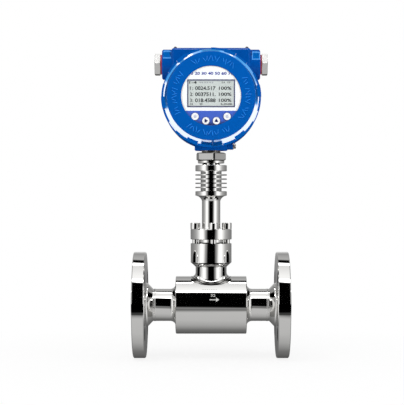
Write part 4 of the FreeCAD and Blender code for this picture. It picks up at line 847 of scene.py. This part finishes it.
class FLOWMETER_OT_key_glyphs(bpy.types.Operator):
    """Printed signs on the four keys"""
    bl_idname = "flowmeter.key_glyphs"
    bl_label = "Key signs"

    def execute(self, context):
        def triangle(size, turn):
            """Solid three-cornered sign: corners at 120 degrees on a circle."""
            turns = turn + np.arange(3) * 2 * math.pi / 3
            return plate(size * np.column_stack([np.cos(turns), np.sin(turns)]),
                         np.array([[0, 1, 2]]))

        for name, turn in (("shift", 0.0), ("raise", math.pi / 2)):
            across, up = KEYS[name]
            shape = on_panel(triangle(0.0031, turn), across, up, KEY_FRONT_Y)
            piece(name + "_sign", shape, "key_ink", body=name + "_key_cap")
        for name in ("menu", "enter"):
            across, up = KEYS[name]
            places = [(CENTRE_X + across, HOUSING_Z + up + step) for step in (-0.0014, 0, 0.0014)]
            half = [(length, 0.00028, PRINT / 2) for length in (0.0016, 0.0021, 0.0016)]
            shape = strokes(places, half, np.zeros(3), KEY_FRONT_Y)
            piece(name + "_sign", shape, "pale_key_ink", body=name + "_key_cap")
        return {"FINISHED"}


class FLOWMETER_OT_body_marks(bpy.types.Operator):
    """Flow arrow and size number etched on the meter body"""
    bl_idname = "flowmeter.body_marks"
    bl_label = "Body marks"

    def execute(self, context):
        def arrow(length, shaft, head):
            """Arrow along the pipe: a shaft that ends in a head of seven points in all."""
            neck = length / 2 - head
            x = [-length / 2, neck, neck, length / 2, neck, neck, -length / 2]
            y = [-shaft, -shaft, -head * 0.7, 0, head * 0.7, shaft, shaft]
            fan = np.array([[0, 1, 5], [0, 5, 6], [2, 3, 1], [1, 3, 5], [3, 4, 5]])
            return plate(np.column_stack([x, y]), fan)

        radius = BODY_RADIUS + MARK_GAP
        shapes = [round_pipe(arrow(0.0125, 0.0006, 0.0042), 0.0042, 0.0094, radius),
                  round_pipe(text_shape("32", 0.0058, 0.0036, bold=0.01), 0.0024, 0.0152, radius)]
        piece("flow_arrow", joined(*shapes), "etched_mark")
        dashes = [round_pipe(text_shape("-", 0.0013, 0.0015), across, 0.0228, radius)
                  for across in np.linspace(-0.0105, 0.0065, 7)]
        piece("fine_marks", joined(*dashes), "fine_mark")
        return {"FINISHED"}


# Studio

def level_ramp(tree, value, stops):
    """Light level by a value, straight between the (value, level) stops. The ramp holds
    shares of the strongest level, and the return value has the levels again."""
    peak = max(level for place, level in stops)
    low = stops[0][0]
    width = stops[-1][0] - low
    share = maths(tree, "DIVIDE", maths(tree, "SUBTRACT", value, low), width)
    ramp = node(tree, "ValToRGB", {"Fac": share})
    elements = ramp.color_ramp.elements
    elements.remove(elements[-1])
    for number, (place, level) in enumerate(stops):
        position = (place - low) / width
        element = elements[0] if number == 0 else elements.new(position)
        element.position = position
        element.color = (level / peak, level / peak, level / peak, 1)
    return maths(tree, "MULTIPLY", ramp.outputs["Color"], peak)


def shader_choice(tree, share, first, second):
    """Shader that goes from the first to the second by a share."""
    return node(tree, "MixShader", {0: share, 1: first, 2: second}).outputs[0]


def ring(turn, low, high):
    """Both places across the axis of a flat ring's points, between two radii."""
    radius = np.array([low, high])
    return np.outer(np.cos(turn), radius), np.outer(np.sin(turn), radius)


def stage_piece(name, points, faces):
    """An object of the studio, and the tree of the material that it alone has."""
    mesh = bpy.data.meshes.new(name)
    mesh.from_pydata(points, [], faces)
    made = linked(name, mesh)
    material = bpy.data.materials.new(name)
    material.use_nodes = True
    mesh.materials.append(material)
    return made, material.node_tree


# Light levels that mirrors see in the room: upright by the ray's angle above the front,
# level by its angle beside the front
UPRIGHT_LEVELS = [
    (-180, 0.08), (-157, 0.08), (-116, 0.20), (-85, 0.47), (-60, 0.60), (-26, 0.63),
    (-22, 0.48), (-18, 0.22), (-14, 0.18), (-10.5, 0.30), (-8, 0.26), (-5.5, 0.06),
    (-3, 0.0), (52, 0.0), (54, 1.2), (55.5, 8.0), (60, 8.0), (61.5, 1.24), (70, 1.18),
    (96, 0.90), (99, 1.1), (100, 6.0), (104.5, 6.0), (106, 1.0), (107.5, 0.0),
    (116, 0.0), (120, 0.55), (132, 0.48), (150, 0.35), (160, 0.6), (180, 1.0)]
SIDE_LEVELS = [
    (0, 0.0), (18, 0.0), (22, 0.06), (27, 0.33), (34, 0.46), (40, 1.1), (48, 1.3),
    (52, 1.4), (58, 1.4), (62, 1.3), (68, 1.1), (76, 0.82), (85, 0.60), (91, 0.50),
    (100, 0.42), (115, 0.33), (140, 0.25), (165, 0.25), (180, 0.5)]
# Levels of the rings beside the head by the angle round it: 0 is on the right, 90 above
OUTER_RING = [
    (-180, 2.6), (-103, 2.6), (-102, 0.15), (-77, 0.15), (-76, 2.6), (12, 2.6),
    (18, 1.7), (22, 1.35), (45, 1.25), (58, 1.1), (60, 1.5), (62.5, 1.5), (63.5, 2.2),
    (66, 2.2), (68, 1.4), (79, 1.3), (81, 0.7), (100, 0.7), (102, 1.3), (112, 1.5),
    (114, 2.4), (124, 2.4), (126, 0.8), (131, 0.8), (132, 2.0), (135, 2.0),
    (137, 1.2), (158, 1.2), (163, 2.4), (180, 2.6)]
INNER_RING = [
    (-180, 0.15), (-171, 0.3), (-164, 2.8), (-104, 3.2), (-102.5, 2.2), (-89.2, 2.3),
    (-88.6, 0.0), (-86.4, 0.0), (-85.8, 2.0), (-77, 1.6), (-75.5, 3.2), (-12, 2.8),
    (-3, 0.3), (6, 0.1), (180, 0.1)]
# Levels of the rings inside the flanges, from the front to the back
FLANGE_RING = [
    (-0.070, 1.1), (-0.033, 1.1), (-0.031, 0.2), (-0.027, 0.2), (-0.025, 0.62),
    (-0.013, 0.62), (-0.010, 0.0), (0.024, 0.0), (0.028, 0.12), (0.070, 0.12)]


class FLOWMETER_OT_studio(bpy.types.Operator):
    """Pale floor, even light, reflected studio walls and the camera"""
    bl_idname = "flowmeter.studio"
    bl_label = "Studio"

    def execute(self, context):
        studio = context.scene.flowmeter_studio
        context.scene.view_settings.view_transform = "Standard"
        self.world(context.scene, studio.room_level)
        self.floor()
        self.lamp("top_lamp", (CENTRE_X - 0.35, -0.9, 1.3), 1.0, 9.0)
        self.lamp("side_lamp", (CENTRE_X + 1.1, -0.7, 0.5), 0.8, 4.0)
        self.rim_cards()
        self.flange_cards()
        self.camera(context.scene, studio)
        return {"FINISHED"}

    @staticmethod
    def world(scene, room_level):
        """White to the camera, one even level to matt surfaces, and to glossy ones the
        studio's dark opening, white panels and grey walls by the ray's direction."""
        scene.world = bpy.data.worlds.new("studio")
        scene.world.use_nodes = True
        tree = scene.world.node_tree
        tree.nodes.clear()

        def background(level):
            return node(tree, "Background", {"Color": (1, 1, 1), "Strength": level}).outputs[0]

        place = node(tree, "TexCoord").outputs["Generated"]
        x, y, z = node(tree, "SeparateXYZ", {0: place}).outputs
        front = maths(tree, "MULTIPLY", y, -1.0)
        upright = level_ramp(tree, angle(tree, z, front), UPRIGHT_LEVELS)
        side = level_ramp(tree, angle(tree, maths(tree, "ABSOLUTE", x), front), SIDE_LEVELS)
        x2, z2 = [maths(tree, "MULTIPLY", value, value) for value in (x, z)]
        share = maths(tree, "DIVIDE", x2, maths(tree, "ADD", maths(tree, "ADD", x2, z2), 1e-6))
        walls = node(tree, "Mix", {0: share, 2: upright, 3: side}, data_type="FLOAT").outputs[0]
        path = node(tree, "LightPath").outputs
        last = background(room_level)
        for ray, level in (("Is Glossy Ray", walls), ("Is Transmission Ray", 1.1),
                           ("Is Camera Ray", 1.0)):
            last = shader_choice(tree, path[ray], last, background(level))
        node(tree, "OutputWorld", {"Surface": last})

    @staticmethod
    def floor():
        """Pale floor under the flanges: it keeps the soft shadow near the object and fades
        to the white background with distance."""
        size = 6.0
        points = [(CENTRE_X + across, depth, FLANGE_BOTTOM - 0.0002) for across, depth in
                  ((-size, -size), (size, -size), (size, size), (-size, size))]
        made, tree = stage_piece("floor", points, [(0, 1, 2, 3)])
        made.visible_glossy = False
        shader = tree.nodes["Principled BSDF"]
        shader.inputs["Base Color"].default_value = (0.9, 0.9, 0.9, 1)
        shader.inputs["Roughness"].default_value = 0.9
        away = reach_from(tree, object_place(tree), (CENTRE_X, 0, FLANGE_BOTTOM))
        fade = node(tree, "MapRange", {"Value": away, "From Min": 0.12, "From Max": 0.45,
                                       "To Min": 0.84, "To Max": 1.0}).outputs["Result"]
        share = maths(tree, "MULTIPLY", fade, node(tree, "LightPath").outputs["Is Camera Ray"])
        white = node(tree, "Emission").outputs[0]
        tree.links.new(shader_choice(tree, share, shader.outputs[0], white),
                       tree.nodes["Material Output"].inputs["Surface"])

    @staticmethod
    def lamp(name, place, size, watts):
        """Large soft lamp turned towards the stem; mirrors show the studio walls instead."""
        data = with_values(bpy.data.lights.new(name, "AREA"), shape="SQUARE", size=size,
                           energy=watts)
        x, y, z = np.array([CENTRE_X, 0, 0.15]) - np.array(place)
        turn = (math.atan2(math.hypot(x, y), -z), 0, math.atan2(-x, y))
        with_values(linked(name, data), location=place, rotation_euler=turn,
                    visible_glossy=False)

    @staticmethod
    def card(name, grid, close, paint, faint=None):
        """A card that only mirrors see, and only from the side its faces point to. The
        paint function gives the socket with its light level; a faint colour tints its low
        levels."""
        points, faces = surface(grid, close, False)
        made, tree = stage_piece(name, points.tolist(), faces.tolist())
        with_values(made, visible_camera=False, visible_diffuse=False, visible_shadow=False,
                    visible_transmission=False)
        tree.nodes.clear()
        level = paint(tree)
        colour = (1, 1, 1)
        if faint:
            share = maths(tree, "DIVIDE", maths(tree, "SUBTRACT", level, 1.2), 0.9, clamp=True)
            colour = blend(tree, share, faint, (0.93, 0.96, 1))
        glow = node(tree, "Emission", {"Color": colour, "Strength": level}).outputs[0]
        clear = node(tree, "BsdfTransparent").outputs[0]
        back = node(tree, "NewGeometry").outputs["Backfacing"]
        node(tree, "OutputMaterial", {"Surface": shader_choice(tree, back, glow, clear)})

    @classmethod
    def rim_cards(cls):
        """Two flat white rings beside the head, behind the cover's steep wall, which mirrors
        the narrow one in its outer part and the wide one next to its face. The wide one has
        a dark sector below, next to the narrow one."""
        def outer(tree):
            at = where(tree)
            return level_ramp(tree, angle(tree, at["Rise"], at["Across"]), OUTER_RING)

        def inner(tree):
            at = where(tree)
            turn = angle(tree, at["Rise"], at["Across"])
            dark = maths(tree, "MULTIPLY", within(tree, turn, -102.5, -76.0, 1.0),
                         maths(tree, "LESS_THAN", at["From Head"], 0.0752))
            return maths(tree, "MULTIPLY", level_ramp(tree, turn, INNER_RING),
                         maths(tree, "SUBTRACT", 1.0, dark))

        turn = np.linspace(0, 2 * math.pi, 180, endpoint=False)
        for name, low, high, paint in (("outer_rim_card", 0.0672, 0.0706, outer),
                                       ("inner_rim_card", 0.0706, 0.0790, inner)):
            across, up = ring(turn, low, high)
            grid = np.stack([CENTRE_X + across, np.full_like(up, -0.02), HOUSING_Z + up],
                            axis=-1)
            cls.card(name, grid, True, paint, (0.12, 0.50, 1.0))

    @classmethod
    def flange_cards(cls):
        """Rings just inside the two flanges, which the cup and the neck mirror: their level
        goes from the front to the back, with the dark of the studio's opening in between."""
        depth, up = ring(np.linspace(-0.1, math.pi + 0.1, 96), 0.0295, 0.0690)
        for name, station, order in (("inlet_card", FACE_LOW + 0.0182, 1),
                                     ("outlet_card", FACE_HIGH - 0.0182, -1)):
            grid = np.stack([np.full_like(up, station), depth, up], axis=-1)
            cls.card(name, grid[:, ::order], False,
                     lambda tree: level_ramp(tree, where(tree)["Depth"], FLANGE_RING))

    @staticmethod
    def camera(scene, studio):
        """Level camera in front of the stem, with the object right of the frame's middle."""
        data = with_values(bpy.data.cameras.new("camera"), lens=studio.lens, sensor_width=36,
                           shift_x=studio.side_step, clip_start=0.05, clip_end=60)
        scene.camera = with_values(linked("camera", data), rotation_euler=(math.pi / 2, 0, 0),
                                   location=(CENTRE_X, -studio.distance, studio.camera_height))


STEPS = (FLOWMETER_OT_finishes, FLOWMETER_OT_cad_pieces, FLOWMETER_OT_welds,
         FLOWMETER_OT_thread, FLOWMETER_OT_cover_marks,
         FLOWMETER_OT_dial_print, FLOWMETER_OT_display, FLOWMETER_OT_key_glyphs,
         FLOWMETER_OT_body_marks, FLOWMETER_OT_studio)
GROUPS = {"flowmeter_metal": FLOWMETER_PG_metal, "flowmeter_paint": FLOWMETER_PG_paint,
          "flowmeter_dial": FLOWMETER_PG_dial, "flowmeter_studio": FLOWMETER_PG_studio}


class FLOWMETER_PT_panel(bpy.types.Panel):
    """Lists the meter's settings and steps"""
    bl_label = "Flow meter"
    bl_idname = "FLOWMETER_PT_panel"
    bl_space_type = "VIEW_3D"
    bl_region_type = "UI"
    bl_category = "Flow meter"

    def draw(self, context):
        for name, group in GROUPS.items():
            box = self.layout.box()
            for label in group.__annotations__:
                box.prop(getattr(context.scene, name), label)
        for step in STEPS:
            self.layout.operator(step.bl_idname)


CLASSES = (*GROUPS.values(), *STEPS, FLOWMETER_PT_panel)


def register():
    for made in CLASSES:
        bpy.utils.register_class(made)
    for name, group in GROUPS.items():
        setattr(bpy.types.Scene, name, PointerProperty(type=group))


def unregister():
    for name in GROUPS:
        delattr(bpy.types.Scene, name)
    for made in reversed(CLASSES):
        bpy.utils.unregister_class(made)


def main():
    register()
    for step in STEPS:
        family, name = step.bl_idname.split(".")
        getattr(getattr(bpy.ops, family), name)()
    bpy.context.view_layer.update()


if __name__ == "__main__":
    main()
